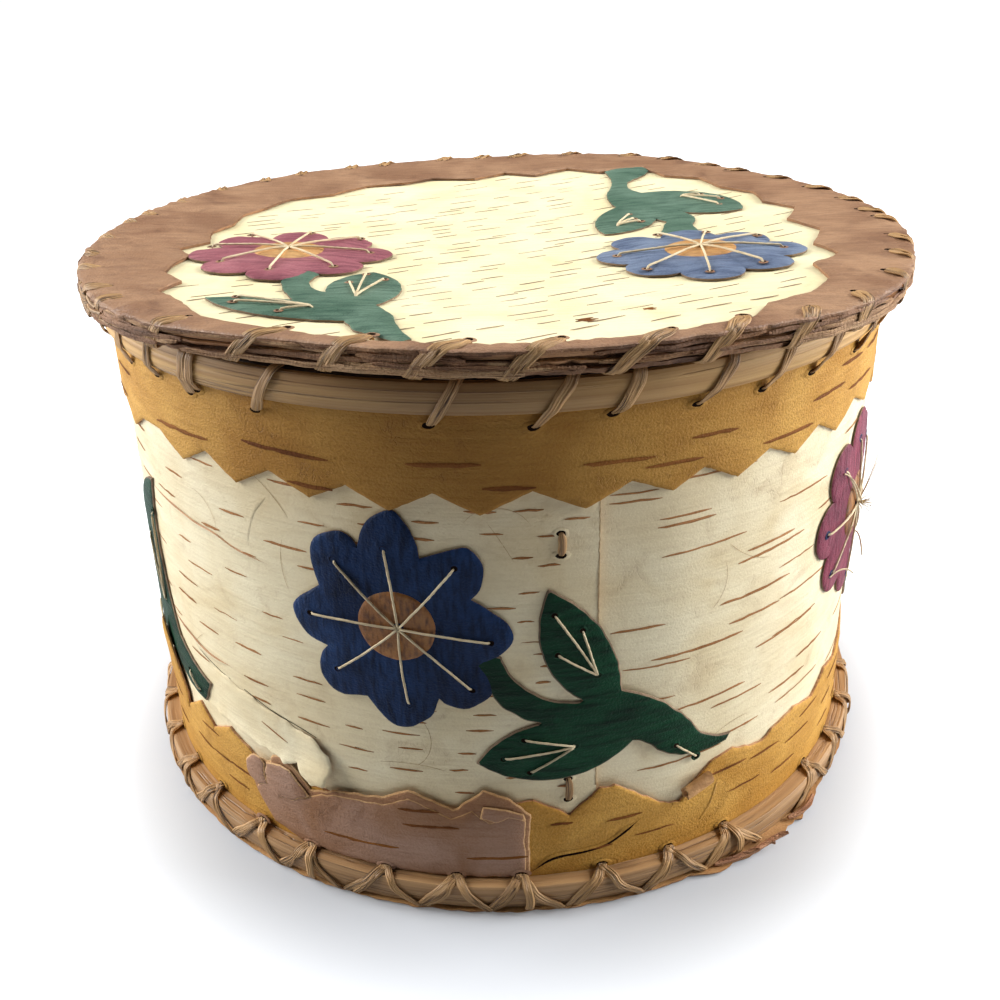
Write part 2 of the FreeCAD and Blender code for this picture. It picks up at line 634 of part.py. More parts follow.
def lid_top_height(y):
    """Height of the sloping top of the whole lid at a distance back from the axis."""
    plies = size("sizes.lid_bark") + size("sizes.lid_ring_bark") + 2 * size("sizes.fit")
    slope = math.tan(math.radians(size("sizes.lid_slope")))
    return lid_slope_placement().Base.z + plies - y * slope


def ring_opening(grow=0.0):
    """Outline of the brown ring's opening: pointed teeth, but a plain curve along the front."""
    count = int(round(size("sizes.lid_teeth")))
    near, deep = size(LID_RADIUS) - size("sizes.lid_ring_wide") + grow, size("sizes.tooth_deep")
    middle_x, middle_y = size("sizes.lid_open_x"), size("sizes.lid_open_y")
    plain = math.radians(size("sizes.lid_plain_turn"))
    points = []
    for step in range(2 * count):
        turn = math.pi * step / count
        from_front = abs(turn - 1.5 * math.pi)
        radius = near + (deep if step % 2 or from_front < plain else 0.0)
        points.append((middle_x + radius * math.cos(turn), middle_y + radius * math.sin(turn)))
    return points


def flat_cut(outline, thick, low=0.0):
    """Bark cut to an outline of (x, y) points, its underside at a height."""
    edges = edges_of(outline, lambda point: Vector(point[0], point[1], low), LID_CUTS)
    return Part.Face(Part.Wire(edges)).extrude(Vector(0, 0, thick))


def make_lid_plies():
    thick, under = size("sizes.lid_bark"), size(LID_UNDERSIDE)
    gap = size("sizes.fit")
    piece("lid_disc", lid_sheet(thick), lid_slope_placement())
    ring = lid_sheet(size("sizes.lid_ring_bark"))
    opening = flat_cut(ring_opening(), size("sizes.lid_ring_bark") + 2, -1)
    piece("lid_ring", ring.cut(opening), lid_slope_placement(thick + gap))
    wide = 2 * (size(LID_RADIUS) + PAST)
    deepest = wide * math.tan(math.radians(size("sizes.lid_slope"))) + PAST / 2
    block = lid_sheet(size("sizes.lid_under_bark") + deepest, size("sizes.lid_under_inset"))
    block.translate(Vector(0, 0, under))
    above = Part.makeBox(wide, wide, PAST, Vector(-wide / 2, -wide / 2, -gap))
    above.Placement = lid_slope_placement().multiply(above.Placement)
    piece("lid_under_ply", block.cut(above))


def make_lid_motif(name, petals, centre, spray):
    """Flower, its centre and its spray of leaves, sewn on the lid's white disc."""
    gap, bark = size("sizes.fit"), size("sizes.trim_bark")
    base = size("sizes.lid_bark") + gap
    flower = flower_outline(size("sizes.lid_flower"), petals)
    piece(name + "_flower", flat_cut(moved(flower, centre), bark), lid_slope_placement(base))
    disc = moved(circle_outline(size("sizes.flower_centre")), centre)
    piece(name + "_flower_centre", flat_cut(disc, size("sizes.centre_bark")),
          lid_slope_placement(base + bark + gap))
    room = flat_cut(moved(flower, centre, ROOM), 6 * bark, -2 * bark)
    clear = flat_cut(ring_opening(-gap), 6 * bark, -2 * bark)
    leaves = flat_cut(spray, bark).common(clear).cut(room)
    piece(name + "_spray", leaves, lid_slope_placement(base))


def make_lid_lacing():
    """Root stitches over the lid's edge, from its top face round to its underside."""
    thick, gap = size("sizes.root_thick"), size("sizes.fit")
    low = size(LID_UNDERSIDE) - gap
    deep, lean = size("sizes.lid_stitch_reach"), size("sizes.lid_lean")
    rise = deep * math.tan(math.radians(size("sizes.lid_slope")))
    curve = lid_edge_curve()
    first, last = curve.FirstParameter, curve.LastParameter
    count = int(round(size("sizes.lid_stitches")))
    straps = []
    for step in range(count):
        at = first + (last - first) * step / count
        spot, along = curve.value(at), curve.tangent(at)[0]
        high = lid_top_height(spot.y) + gap + rise
        out = 4 * gap
        corners = [(-deep, high), (out - thick, high + thick), (out + thick, high),
                   (out + thick, low), (out - thick, low - thick), (-deep, low), (out, low),
                   (out, high)]
        strap = slanted_strap(corners, (low + high) / 2, lean, size("sizes.root_wide"))
        strap.rotate(AXIS, UP, math.degrees(math.atan2(along.y, along.x)))
        strap.translate(Vector(spot.x, spot.y, 0))
        straps.append(strap)
    return piece("lid_lacing", Part.makeCompound(straps))


# ------------------------------------------------------------------ build, check and write

make_bottom_disc()
make_wall_sheet()
make_top_band()
make_low_band()
make_patch()
make_hoops()
make_rim_lacing()
make_foot_lacing()
make_seam_lacing()
make_wall_flowers()
make_wall_sprays()
make_lid_plies()
make_lid_lacing()
for motif in LID_MOTIFS:
    make_lid_motif(*motif)
doc.recompute()

NODE_TYPES = ("PartDesign::Body", "Part::Feature")
nodes = [thing for thing in doc.Objects if thing.TypeId in NODE_TYPES]
for thing in doc.Objects:
    if "Invalid" in thing.State or "Error" in thing.State:
        raise RuntimeError("%s failed: %s" % (thing.Label, thing.State))
for node in nodes:
    if node.Shape.isNull() or not node.Shape.isValid() or not node.Shape.Solids:
        raise RuntimeError("%s has no valid solid" % node.Label)

os.makedirs("parts", exist_ok=True)
for node in nodes:
    node.Shape.exportStep("parts/%s.step" % node.Label)
    print("%-24s solids %3d  volume %10.1f mm3" % (node.Label, len(node.Shape.Solids),
                                                   node.Shape.Volume))
print("%d nodes" % len(nodes))
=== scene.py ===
# %% [markdown]
# # Dressing a lidded box of birch bark
#
# The box is a tube of white birch bark on a bark disc. Two bands of golden bark dress it, splint
# hoops stiffen its rim and foot, and split root laces everything together. Flowers and leaves of
# dyed bark are sewn on with thread. The lid is a stack of bark plies with a laced edge.
#
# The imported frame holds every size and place. The lesson lays irregular, hand-cut looking pieces
# over it, gives each surface a finish made from nodes, and lights the whole.

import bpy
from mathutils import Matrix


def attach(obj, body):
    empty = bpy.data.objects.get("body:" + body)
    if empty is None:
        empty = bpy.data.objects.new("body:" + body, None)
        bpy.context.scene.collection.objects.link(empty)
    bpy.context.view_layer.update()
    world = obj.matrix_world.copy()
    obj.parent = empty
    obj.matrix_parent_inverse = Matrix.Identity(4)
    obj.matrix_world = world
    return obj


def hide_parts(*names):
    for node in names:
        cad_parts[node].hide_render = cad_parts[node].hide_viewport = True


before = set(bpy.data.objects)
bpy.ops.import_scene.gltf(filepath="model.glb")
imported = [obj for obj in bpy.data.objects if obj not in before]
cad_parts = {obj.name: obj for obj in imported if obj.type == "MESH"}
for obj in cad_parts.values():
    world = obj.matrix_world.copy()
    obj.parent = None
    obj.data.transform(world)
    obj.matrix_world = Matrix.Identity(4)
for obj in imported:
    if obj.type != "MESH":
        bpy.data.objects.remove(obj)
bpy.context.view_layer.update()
print("the frame has", len(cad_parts), "nodes")

# %% [markdown]
# ## Lengths
#
# A maker thinks of this box in millimetres, and Blender here works in metres. So all shapes below
# are written in mm and scaled once, where a mesh is made. Round pieces are measured on the frame
# itself: smallest and largest distance from the axis, lowest and highest point.

# %% Measure the round pieces of the frame
import random
from math import atan2, cos, dist, exp, hypot, pi, radians, sin, sqrt, tan, tau

import bmesh
import bpy
import numpy as np
from mathutils import Matrix, Vector, noise
from mathutils.geometry import delaunay_2d_cdt

MM = 0.001
TINY = 1e-9  # keeps a division by a length safe


def measured(node):
    """Inner and outer reach from the axis, and lowest and highest point, in mm."""
    spots = np.array([corner.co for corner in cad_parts[node].data.vertices]) / MM
    reach = np.hypot(spots[:, 0], spots[:, 1])
    return reach.min(), reach.max(), spots[:, 2].min(), spots[:, 2].max()


WALL = measured("wall_sheet")[1]
WALL_LOW, WALL_TOP = measured("wall_sheet")[2:]
ROUND = tau * WALL
print("wall reach %.1f mm, %.1f mm round, from %.1f to %.1f mm high"
      % (WALL, ROUND, WALL_LOW, WALL_TOP))

# %% [markdown]
# ## Camera
#
# The camera looks down on the box at about 27 degrees from half a metre away, as one looks at a
# box on a table. Its matrix is built from three directions, forward, right and up, which is more
# exact than aiming it by hand.

# %% Place the camera
def add_object(name, data):
    """New object in the scene."""
    made = bpy.data.objects.new(name, data)
    bpy.context.scene.collection.objects.link(made)
    return made


def add_camera(place, pitch, yaw, roll, lens):
    """Camera at a place in mm, tipped down by pitch, turned by yaw and rolled, in radians."""
    forward = Vector((sin(yaw) * cos(pitch), cos(yaw) * cos(pitch), -sin(pitch)))
    level = Vector((cos(yaw), -sin(yaw), 0.0))
    upright = level.cross(forward)
    right = level * cos(roll) + upright * sin(roll)
    up = upright * cos(roll) - level * sin(roll)
    camera = add_object("camera", bpy.data.cameras.new("camera"))
    camera.data.lens = lens
    camera.data.clip_start = 0.02
    turn = Matrix((right, up, -forward)).transposed()
    camera.matrix_world = Matrix.Translation(Vector(place) * MM) @ turn.to_4x4()
    bpy.context.scene.camera = camera


add_camera((1.58, -342.9, 236.6), pitch=0.464, yaw=-0.006, roll=-0.027, lens=41.4)
bpy.context.scene.view_settings.view_transform = "Standard"

# %% [markdown]
# ## Finishes
#
# Every surface gets its colour, roughness and relief from nodes. A small class keeps the wiring
# short: each method adds one node and hands back its output. Patterns are measured in cm. Three
# kinds of place are used: round the box (along the wall, up, out), flat on the lid, and along a
# strip by its own UV map, which is how wood fibre and root fibre keep to a bent piece.

# %% A short way to wire materials
def paint(red, green, blue):
    """Colour written as 0 to 255 on the screen, as the light values that nodes need."""
    shares = [level / 255 for level in (red, green, blue)]
    light = [((s + 0.055) / 1.055) ** 2.4 if s > 0.04045 else s / 12.92 for s in shares]
    return (*light, 1)


class Finish:
    """A material that is wired one short call at a time."""

    def __init__(self, name, roughness):
        self.material = bpy.data.materials.new(name)
        self.material.use_nodes = True
        self.nodes = self.material.node_tree.nodes
        self.links = self.material.node_tree.links
        self.shader = self.nodes["Principled BSDF"]
        self.shader.inputs["Roughness"].default_value = roughness

    def put(self, socket, value):
        if isinstance(value, bpy.types.NodeSocket):
            self.links.new(value, socket)
        else:
            socket.default_value = value

    def add(self, kind, inputs, **settings):
        made = self.nodes.new("ShaderNode" + kind)
        for key, value in settings.items():
            setattr(made, key, value)
        for key, value in inputs.items():
            self.put(made.inputs[key], value)
        return made

    def work(self, operation, first, second=0.0):
        return self.add("Math", {0: first, 1: second}, operation=operation).outputs[0]

    def times(self, first, second):
        return self.work("MULTIPLY", first, second)

    def stretch(self, vector, by):
        return self.add("VectorMath", {0: vector, 1: by}, operation="MULTIPLY").outputs[0]

    def place(self, kind):
        """Where a point lies, in cm: 'round' the box, 'flat' on the lid, or 'along' a strip."""
        if kind == "along":
            return self.nodes.new("ShaderNodeUVMap").outputs[0]
        spot = self.nodes.new("ShaderNodeTexCoord").outputs["Object"]
        if kind == "flat":
            return self.stretch(spot, (100, 100, 100))
        x, y, z = self.add("SeparateXYZ", {0: spot}).outputs
        turn = self.work("ARCTAN2", x, self.times(y, -1.0))
        out = self.add("VectorMath", {0: spot}, operation="LENGTH").outputs["Value"]
        parts = {0: self.times(turn, WALL / 10), 1: self.times(z, 100.0),
                 2: self.times(out, 100.0)}
        return self.add("CombineXYZ", parts).outputs[0]

    def cloud(self, where, scale, detail, by=(1, 1, 1), twist=0.0):
        """Soft noise from 0 to 1, with blotches about 1 / scale cm wide."""
        made = self.add("TexNoise", {"Vector": self.stretch(where, by), "Scale": scale,
                                     "Detail": detail, "Distortion": twist})
        return made.outputs["Fac"]

    def between(self, value, low, high):
        """Value spread so that low becomes 0 and high becomes 1."""
        made = self.add("MapRange", {"Value": value, "From Min": low, "From Max": high})
        return made.outputs[0]

    def blend(self, share, under, over):
        return self.add("Mix", {0: share, 6: under, 7: over}, data_type="RGBA").outputs[2]

    def tint(self, colour, pattern, amount, over):
        """Another colour laid over the first, where a pattern is strong."""
        return self.blend(self.times(pattern, amount), colour, over)

    def painted_lid_shade(self, colour, spot, amount, shade_colour):
        """Painted shade under the lid's overhang: darker round the front, upper wall to rim."""
        along, high = self.add("SeparateXYZ", {0: spot}).outputs[:2]
        aside = self.work("ABSOLUTE", self.work("ADD", along, 1.0))
        share = self.times(self.between(aside, 10.0, 1.0), self.between(high, 8.5, 12.0))
        return self.tint(colour, share, amount, shade_colour)

    def done(self, colour, height=None, tall=0.3, roughness=None):
        """Wires colour, relief (its height in mm) and a roughness pattern to the shader."""
        self.put(self.shader.inputs["Base Color"], colour)
        if height is not None:
            bump = self.add("Bump", {"Height": height, "Distance": tall * MM})
            self.put(self.shader.inputs["Normal"], bump.outputs[0])
        if roughness is not None:
            self.put(self.shader.inputs["Roughness"], roughness)
        return self.material


# %% [markdown]
# ### Bark
#
# Birch bark peels in thin sheets with fine fibres round the trunk. Its colour is never even:
# broad clouds, a few warm stains and a suede-like grain lie over each other. One recipe with
# other colours and amounts serves white, golden, brown and dyed bark. Two more layers are there
# for the asking: fine creases, and painted shade round the front of the upper wall and the top
# band, where the lid's overhang shades them.

# %% Recipe for bark
def bark(name, light, dark, stain, where="round", roughness=0.6, stained=0.5, streaks=0.5,
         grain=0.5, run=(0.7, 9.0, 2.0), relief=0.25, shine=0.5, wrinkled=0.0, painted_lid_shade=0.0):
    """Bark of two near colours with stains; run sets which way its fibres lie."""
    finish = Finish(name, roughness)
    finish.put(finish.shader.inputs["Specular IOR Level"], shine)
    spot, stain = finish.place(where), paint(*stain)
    broad = finish.between(finish.cloud(spot, 0.45, 5.0, twist=0.6), 0.36, 0.66)
    colour = finish.blend(broad, paint(*light), paint(*dark))
    blotch = finish.between(finish.cloud(spot, 0.9, 6.0, twist=1.2), 0.56, 0.80)
    colour = finish.tint(colour, blotch, stained, stain)
    fibre = finish.cloud(spot, 1.0, 4.0, by=run)
    colour = finish.tint(colour, finish.between(fibre, 0.44, 0.72), streaks, stain)
    speck = finish.cloud(spot, 16.0, 3.0)
    colour = finish.tint(colour, finish.between(speck, 0.42, 0.72), grain * 0.45, stain)
    # Painted shade below the lid's overhang, darker round the front.
    if painted_lid_shade:
        colour = finish.painted_lid_shade(colour, spot, painted_lid_shade, stain)
    height = finish.work("ADD", finish.times(speck, 0.3 + grain), fibre)
    if wrinkled:
        fold = finish.cloud(spot, 1.0, 3.0, by=(3.2, 1.1, 1.1), twist=0.4)
        line = finish.work("ABSOLUTE", finish.work("SUBTRACT", fold, 0.5))
        crease = finish.times(finish.between(line, 0.018, 0.0), blotch)
        colour = finish.tint(colour, crease, 0.5 * wrinkled, stain)
        height = finish.work("SUBTRACT", height, finish.times(crease, wrinkled))
    rough = finish.times(finish.work("ADD", finish.times(fibre, 0.3), 0.85), roughness)
    return finish.done(colour, height, relief, rough)


# The upper wall carries painted shade round the front, below the lid's overhang.
WHITE = bark("white_bark", (242, 230, 195), (228, 210, 168), (174, 142, 98), stained=0.36,
             streaks=0.14, grain=0.26, roughness=0.55, relief=0.2, shine=0.35, wrinkled=0.5,
             painted_lid_shade=0.32)
LID_WHITE = bark("lid_white_bark", (247, 238, 198), (237, 224, 178), (188, 156, 108), "flat",
                 stained=0.22, streaks=0.12, grain=0.18, relief=0.15, shine=0.3)
INSIDE = bark("bark_inner_side", (206, 160, 104), (182, 132, 78), (132, 86, 46), streaks=0.4,
              grain=0.4)
# The top band carries painted shade round the front, below the lid's overhang.
GOLDEN = bark("golden_bark", (214, 164, 80), (188, 136, 56), (126, 82, 30), stained=0.35,
              streaks=0.18, grain=0.75, roughness=0.66, relief=0.26, shine=0.2, wrinkled=1.0,
              painted_lid_shade=0.65)
BROWN = bark("brown_bark", (178, 138, 104), (144, 104, 74), (98, 64, 44), "flat", stained=0.65,
             streaks=0.35, grain=0.55, roughness=0.5, run=(1.2, 5.0, 3.0), relief=0.4)
ROUGH_PLY = bark("rough_brown_bark", (170, 124, 84), (118, 80, 52), (66, 42, 28), stained=0.8,
                 streaks=0.6, grain=0.7, roughness=0.7, relief=0.5)
CUT_EDGE = bark("cut_edge", (206, 158, 112), (166, 112, 70), (110, 66, 40), streaks=0.6,
                grain=0.4, run=(0.5, 30.0, 4.0), roughness=0.7)
MAUVE = bark("mauve_bark", (174, 138, 116), (152, 108, 74), (124, 82, 50), stained=0.7,
             streaks=0.25, grain=0.6, roughness=0.55, shine=0.3, wrinkled=0.6)
MAUVE_UNDER = bark("mauve_bark_under", (180, 136, 98), (154, 108, 72), (108, 68, 42), stained=0.6,
                   streaks=0.35, grain=0.55, relief=0.3, shine=0.3)
DULL_EDGE = bark("dull_cut_edge", (150, 126, 100), (112, 92, 72), (66, 54, 44), "flat", grain=0.6,
                 roughness=0.7, shine=0.3)
PALE_EDGE = bark("pale_cut_edge", (228, 188, 138), (198, 152, 100), (150, 104, 62), grain=0.6,
                 roughness=0.7, shine=0.3)
print("bark finishes:", len([m for m in bpy.data.materials if "bark" in m.name]))

# %% [markdown]
# ### Dyed bark
#
# The flowers and leaves are bark that was brushed with dye. Dye pools in the fibres, so the
# strokes show darker, and it is thin on the ridges. The same recipe does it with strong streaks
# and dye colours, and a little less roughness, because the dye leaves a faint gloss.

# %% Dyes
ACROSS, ALONG = (7.0, 0.9, 2.0), (1.0, 7.0, 2.0)  # the two ways in which fibres can lie


def dyed(name, light, dark, stain, where="flat", run=ALONG):
    return bark(name, light, dark, stain, where, roughness=0.45, stained=0.55, streaks=0.75,
                run=run, relief=0.35, shine=0.12, wrinkled=0.6)


NAVY = dyed("navy_dye", (32, 58, 100), (18, 36, 68), (7, 14, 32), "round", ACROSS)
BURGUNDY = dyed("burgundy_dye", (150, 72, 90), (118, 50, 68), (70, 26, 40), "round", ACROSS)
LEAF = dyed("dark_green_dye", (18, 66, 42), (10, 48, 29), (4, 22, 14), "round")
LID_RED = dyed("lid_red_dye", (180, 118, 124), (152, 88, 98), (106, 58, 68))
LID_BLUE = dyed("lid_blue_dye", (132, 146, 168), (102, 116, 142), (62, 74, 100))
LID_LEAF = dyed("lid_green_dye", (112, 138, 120), (84, 112, 94), (44, 72, 60))
OCHRE = bark("ochre_bark", (170, 112, 50), (128, 78, 28), (74, 40, 14), streaks=0.9, grain=0.4,
             run=(9.0, 3.0, 2.0), roughness=0.5)
LID_OCHRE = bark("lid_ochre_bark", (220, 172, 110), (192, 138, 78), (140, 92, 48), "flat",
                 streaks=0.8, grain=0.4, run=(1.5, 9.0, 2.0), roughness=0.5)
SCAR = bark("lenticel", (184, 132, 84), (152, 102, 60), (110, 68, 38), streaks=0.4, grain=0.6,
            roughness=0.8, relief=0.3, shine=0.2)
BAND_SCAR = bark("band_lenticel", (146, 92, 42), (112, 64, 26), (72, 38, 14), streaks=0.4,
                 grain=0.6, roughness=0.8, relief=0.3, shine=0.15)
LID_SCAR = bark("lid_lenticel", (178, 148, 112), (140, 110, 80), (96, 70, 50), "flat",
                streaks=0.5, grain=0.7, roughness=0.75, relief=0.2)

# %% [markdown]
# ### Splint, root, reed and thread
#
# A splint is wood split along its grain, so long fine lines and a few dark cracks run with the
# hoop. Split root is the same in small: it is fibrous along its length, brown, with a soft
# shine. The reed is dark and polished. The sewing thread is cream and slightly fuzzy. Noise that
# is squeezed across the fibre and stretched along it draws them all.

# %% Wood, root, reed and thread
def fibrous(name, light, dark, crack, where, run, roughness=0.5, cracks=0.6, relief=0.4,
            painted_lid_shade=0.0):
    """Wood or root with long fibres; run is how tightly they lie in each direction."""
    finish = Finish(name, roughness)
    spot, dark, crack = finish.place(where), paint(*dark), paint(*crack)
    fine = finish.cloud(spot, 1.0, 5.0, by=run)
    broad = finish.cloud(spot, 0.6, 3.0, by=(0.5, 1.5, 1.5))
    colour = finish.blend(finish.between(fine, 0.32, 0.68), paint(*light), dark)
    colour = finish.tint(colour, finish.between(broad, 0.45, 0.75), 0.6, dark)
    split = finish.cloud(spot, 1.0, 2.0, by=tuple(0.45 * step for step in run))
    gap = finish.between(finish.work("ABSOLUTE", finish.work("SUBTRACT", split, 0.5)), 0.022, 0.0)
    gate = finish.between(broad, 0.42, 0.55)
    gap = finish.times(finish.times(gap, gate), cracks)
    colour = finish.blend(gap, colour, crack)
    # Painted shade below the lid's overhang, darker round the front.
    if painted_lid_shade:
        colour = finish.painted_lid_shade(colour, spot, painted_lid_shade, crack)
    height = finish.work("SUBTRACT", fine, finish.times(gap, 1.2))
    return finish.done(colour, height, relief)


# The rim's splints carry painted shade round the front, below the lid's overhang.
SPLINT = fibrous("splint", (228, 184, 116), (188, 142, 82), (90, 56, 28), "round",
                 (0.10, 9.0, 6.0), roughness=0.55, cracks=0.5, relief=0.5, painted_lid_shade=0.65)
FOOT_WOOD = fibrous("foot_splint", (188, 148, 102), (148, 110, 70), (72, 44, 24), "round",
                    (0.12, 9.0, 7.0), cracks=0.5, relief=0.5)
ROOT = fibrous("split_root", (206, 164, 110), (152, 112, 68), (62, 38, 20), "along",
               (0.6, 20.0, 1.0), cracks=0.9, relief=0.7)
REED = fibrous("dark_reed", (62, 40, 28), (34, 20, 14), (14, 8, 6), "round", (0.4, 8.0, 8.0),
               roughness=0.28, relief=0.2)
THREAD = fibrous("thread", (236, 220, 184), (206, 184, 144), (150, 122, 84), "along",
                 (2.0, 12.0, 1.0), roughness=0.7, cracks=0.2)
# Painted shade: the dark inside of awl holes and cracks, which are not cut.
HOLE_SHADE = bark("awl_hole", (34, 20, 12), (22, 12, 7), (10, 6, 4), grain=0.8, roughness=1.0,
            shine=0.05)
print("finishes in all:", len(bpy.data.materials))

# %% [markdown]
# ## How pieces become meshes
#
# A piece is gathered as points in mm and faces in a bundle, and made into a mesh once. Each face
# has its own finish, so a sheet can have a cut edge of another colour. The last step turns all
# faces outwards, smooths the shading and lets the piece ride on its body.

# %% Bundles of points and faces
class Bundle:
    """Points, faces, finish numbers and strip places of one piece."""

    def __init__(self):
        self.points, self.faces, self.finish, self.strip = [], [], [], []

    def add(self, points, faces=(), finish=0, strip=None):
        """Adds points, with faces between them, and tells where the points start."""
        start = len(self.points)
        self.points.extend(tuple(float(value) for value in point) for point in points)
        self.strip.extend(strip if strip is not None else [(0.0, 0.0)] * len(points))
        self.cover(start, faces, finish)
        return start

    def cover(self, start, faces, finish):
        """Adds faces between points that are already there, counted from a start."""
        self.faces.extend(tuple(start + corner for corner in face) for face in faces)
        self.finish.extend([finish] * len(faces))


def lattice(steps, row, first=0, last=None):
    """Faces of an open strip: steps gaps long, with row points across; first to last of them."""
    last = row - 1 if last is None else last
    return [(row * step + at, row * step + row + at, row * step + row + at + 1,
             row * step + at + 1) for step in range(steps) for at in range(first, last)]


def tube(steps, ring):
    """Faces round a tube: steps gaps long, with ring points round it."""
    return [(row * ring + at, row * ring + (at + 1) % ring, (row + 1) * ring + (at + 1) % ring,
             (row + 1) * ring + at) for row in range(steps) for at in range(ring)]


def closed_tube(steps, ring):
    """Faces of a tube with both ends shut."""
    return tube(steps, ring) + [tuple(range(ring)), tuple(steps * ring + at for at in range(ring))]


def make_piece(name, bundle, body, finishes, slot=None, stands_for=(), sharp=40):
    """Mesh from a bundle, riding on a body, in place of the frame's nodes that it stands for."""
    mesh = bpy.data.meshes.new(name)
    mesh.from_pydata([(x * MM, y * MM, z * MM) for x, y, z in bundle.points], [], bundle.faces)
    for finish in finishes:
        mesh.materials.append(finish)
    mesh.polygons.foreach_set("material_index", bundle.finish)
    corners = np.zeros(len(mesh.loops), np.int32)
    mesh.loops.foreach_get("vertex_index", corners)
    strip = mesh.uv_layers.new(name="strip")
    strip.data.foreach_set("uv", np.array(bundle.strip, np.float32)[corners].ravel())
    shell = bmesh.new()
    shell.from_mesh(mesh)
    bmesh.ops.recalc_face_normals(shell, faces=shell.faces)
    shell.to_mesh(mesh)
    shell.free()
    mesh.shade_smooth()
    mesh.set_sharp_from_angle(angle=radians(sharp))
    piece = add_object(name, mesh)
    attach(piece, body)
    if stands_for:
        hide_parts(*stands_for)
    print("%-22s %6d faces" % (name, len(mesh.polygons)))
    return piece


# %% [markdown]
# ### Places on the box
#
# Whatever lies on the wall is drawn as on a flat sheet: mm round from the front, mm up, and mm
# off the bark. One function bends such a place round the box. Smooth noise stands in for the
# hand. It lets a line waver or a sheet swell, and is the same at every run.

# %% Small tools for places and wandering values
def at_reach(turn, reach, high):
    """Point at a turn from the front towards the right, and a reach from the axis."""
    return (reach * sin(turn), -reach * cos(turn), high)


def around(across, high, lift):
    """Point on the wall: mm round it from the front, mm up, mm out of the bark."""
    return at_reach(across / WALL, WALL + lift, high)


def wander(first, second=0.0, third=0.0):
    """Smooth noise from -1 to 1."""
    return noise.noise(Vector((first, second, third)))


def ease(share):
    """0 to 1 with a soft start and end."""
    share = min(max(share, 0.0), 1.0)
    return share * share * (3 - 2 * share)


def spline(a, b, c, d, t):
    """Value at a share t of the way from b to c, on an even curve (a Catmull-Rom spline)."""
    return 0.5 * (2 * b + (c - a) * t + (2 * a - 5 * b + 4 * c - d) * t * t
                  + (3 * b - a - 3 * c + d) * t ** 3)


def smooth_line(points, parts=4):
    """Smooth curve through all points."""
    spots = [np.array(point, float) for point in points]
    ends = [2 * spots[0] - spots[1]] + spots + [2 * spots[-1] - spots[-2]]
    line = [spline(*four, part / parts)
            for four in zip(ends, ends[1:], ends[2:], ends[3:]) for part in range(parts)]
    return line + [spots[-1]]


def headings(line):
    """Direction of a line at each of its points."""
    ahead = np.gradient(line, axis=0)
    return ahead / (np.linalg.norm(ahead, axis=1)[:, None] + TINY)


def walked(line):
    """Distance walked along a line at each of its points."""
    return np.concatenate([[0], np.cumsum(np.linalg.norm(np.diff(line, axis=0), axis=1))])


def raised(place, base):
    """The same places, lifted off by a base height."""
    return lambda x, y, lift: place(x, y, base + lift)


def ridge(bundle, place, points, section, finishes):
    """Strip along points; section has (sideways, lift) pairs, finishes one for each gap."""
    line = np.array(smooth_line(points, 5))
    ahead = headings(line)
    count, spots = len(line), []
    for index, ((x, y), (dx, dy)) in enumerate(zip(line, ahead)):
        taper = ease(min(index, count - 1 - index) / 4) * (1 + 0.3 * wander(x / 3, y / 3))
        spots += [place(x - dy * side * taper, y + dx * side * taper, 0.02 + up * taper)
                  for side, up in section]
    start = bundle.add(spots)
    for row, finish in enumerate(finishes):
        bundle.cover(start, lattice(count - 1, len(section), row, row + 1), finish)


# %% [markdown]
# ## Sheets of bark
#
# The wall, the bands and the plies of the lid are thin sheets. A sheet is a grid of columns and
# rows, once for its outside and once for its inside, closed by its cut edges. A grid is better
# here than a solidified surface, because each edge can be frayed and rounded by itself.

# %% Build a sheet from two grids
def sheet(bundle, outside, inside, closed, finishes=(0, 1, 2)):
    """Sheet between two grids of points: columns of rows. Finishes: outside, inside, edges."""
    columns, rows = len(outside), len(outside[0])
    flat = [point for column in outside for point in column]
    flat += [point for column in inside for point in column]
    half = columns * rows
    faces = {0: [], 1: [], 2: []}
    for step in range(columns if closed else columns - 1):
        here, there = step * rows, (step + 1) % columns * rows
        for row in range(rows - 1):
            quad = (here + row, there + row, there + row + 1, here + row + 1)
            faces[0].append(quad)
            faces[1].append(tuple(half + corner for corner in reversed(quad)))
        for row, flip in ((0, True), (rows - 1, False)):
            quad = (here + row, there + row, half + there + row, half + here + row)
            faces[2].append(tuple(reversed(quad)) if flip else quad)
    if not closed:
        for start in (0, (columns - 1) * rows):
            for row in range(start, start + rows - 1):
                faces[2].append((row, row + 1, half + row + 1, half + row))
    start = bundle.add(flat)
    for kind, quads in faces.items():
        bundle.cover(start, quads, finishes[kind])


# %% [markdown]
# ### The wall
#
# The wall is one sheet, bent to a tube and lapped on itself. Its cut end shows as an upright
# step a little right of the front; the other end eases in below it. The sheet is never quite
# even, so its surface swells and dips by a fraction of a millimetre.

# %% The lapped wall
WALL_BARK = 1.2
SEAM = radians(12) * WALL  # the sheet's outer end stands 12 degrees right of the front
LAP, CLIMB = 22.0, 24.0  # how far the ends overlap, and how far the sheet takes to rise again


def wall_lift(along):
    """How far the sheet lies below its full reach, by the distance past the seam."""
    return -(WALL_BARK + 0.05) * (1 - ease(along / CLIMB))


def wall_swell(across, high):
    return 0.14 * wander(across / 24, high / 17, 3) + 0.05 * wander(across / 6, high / 4, 8)


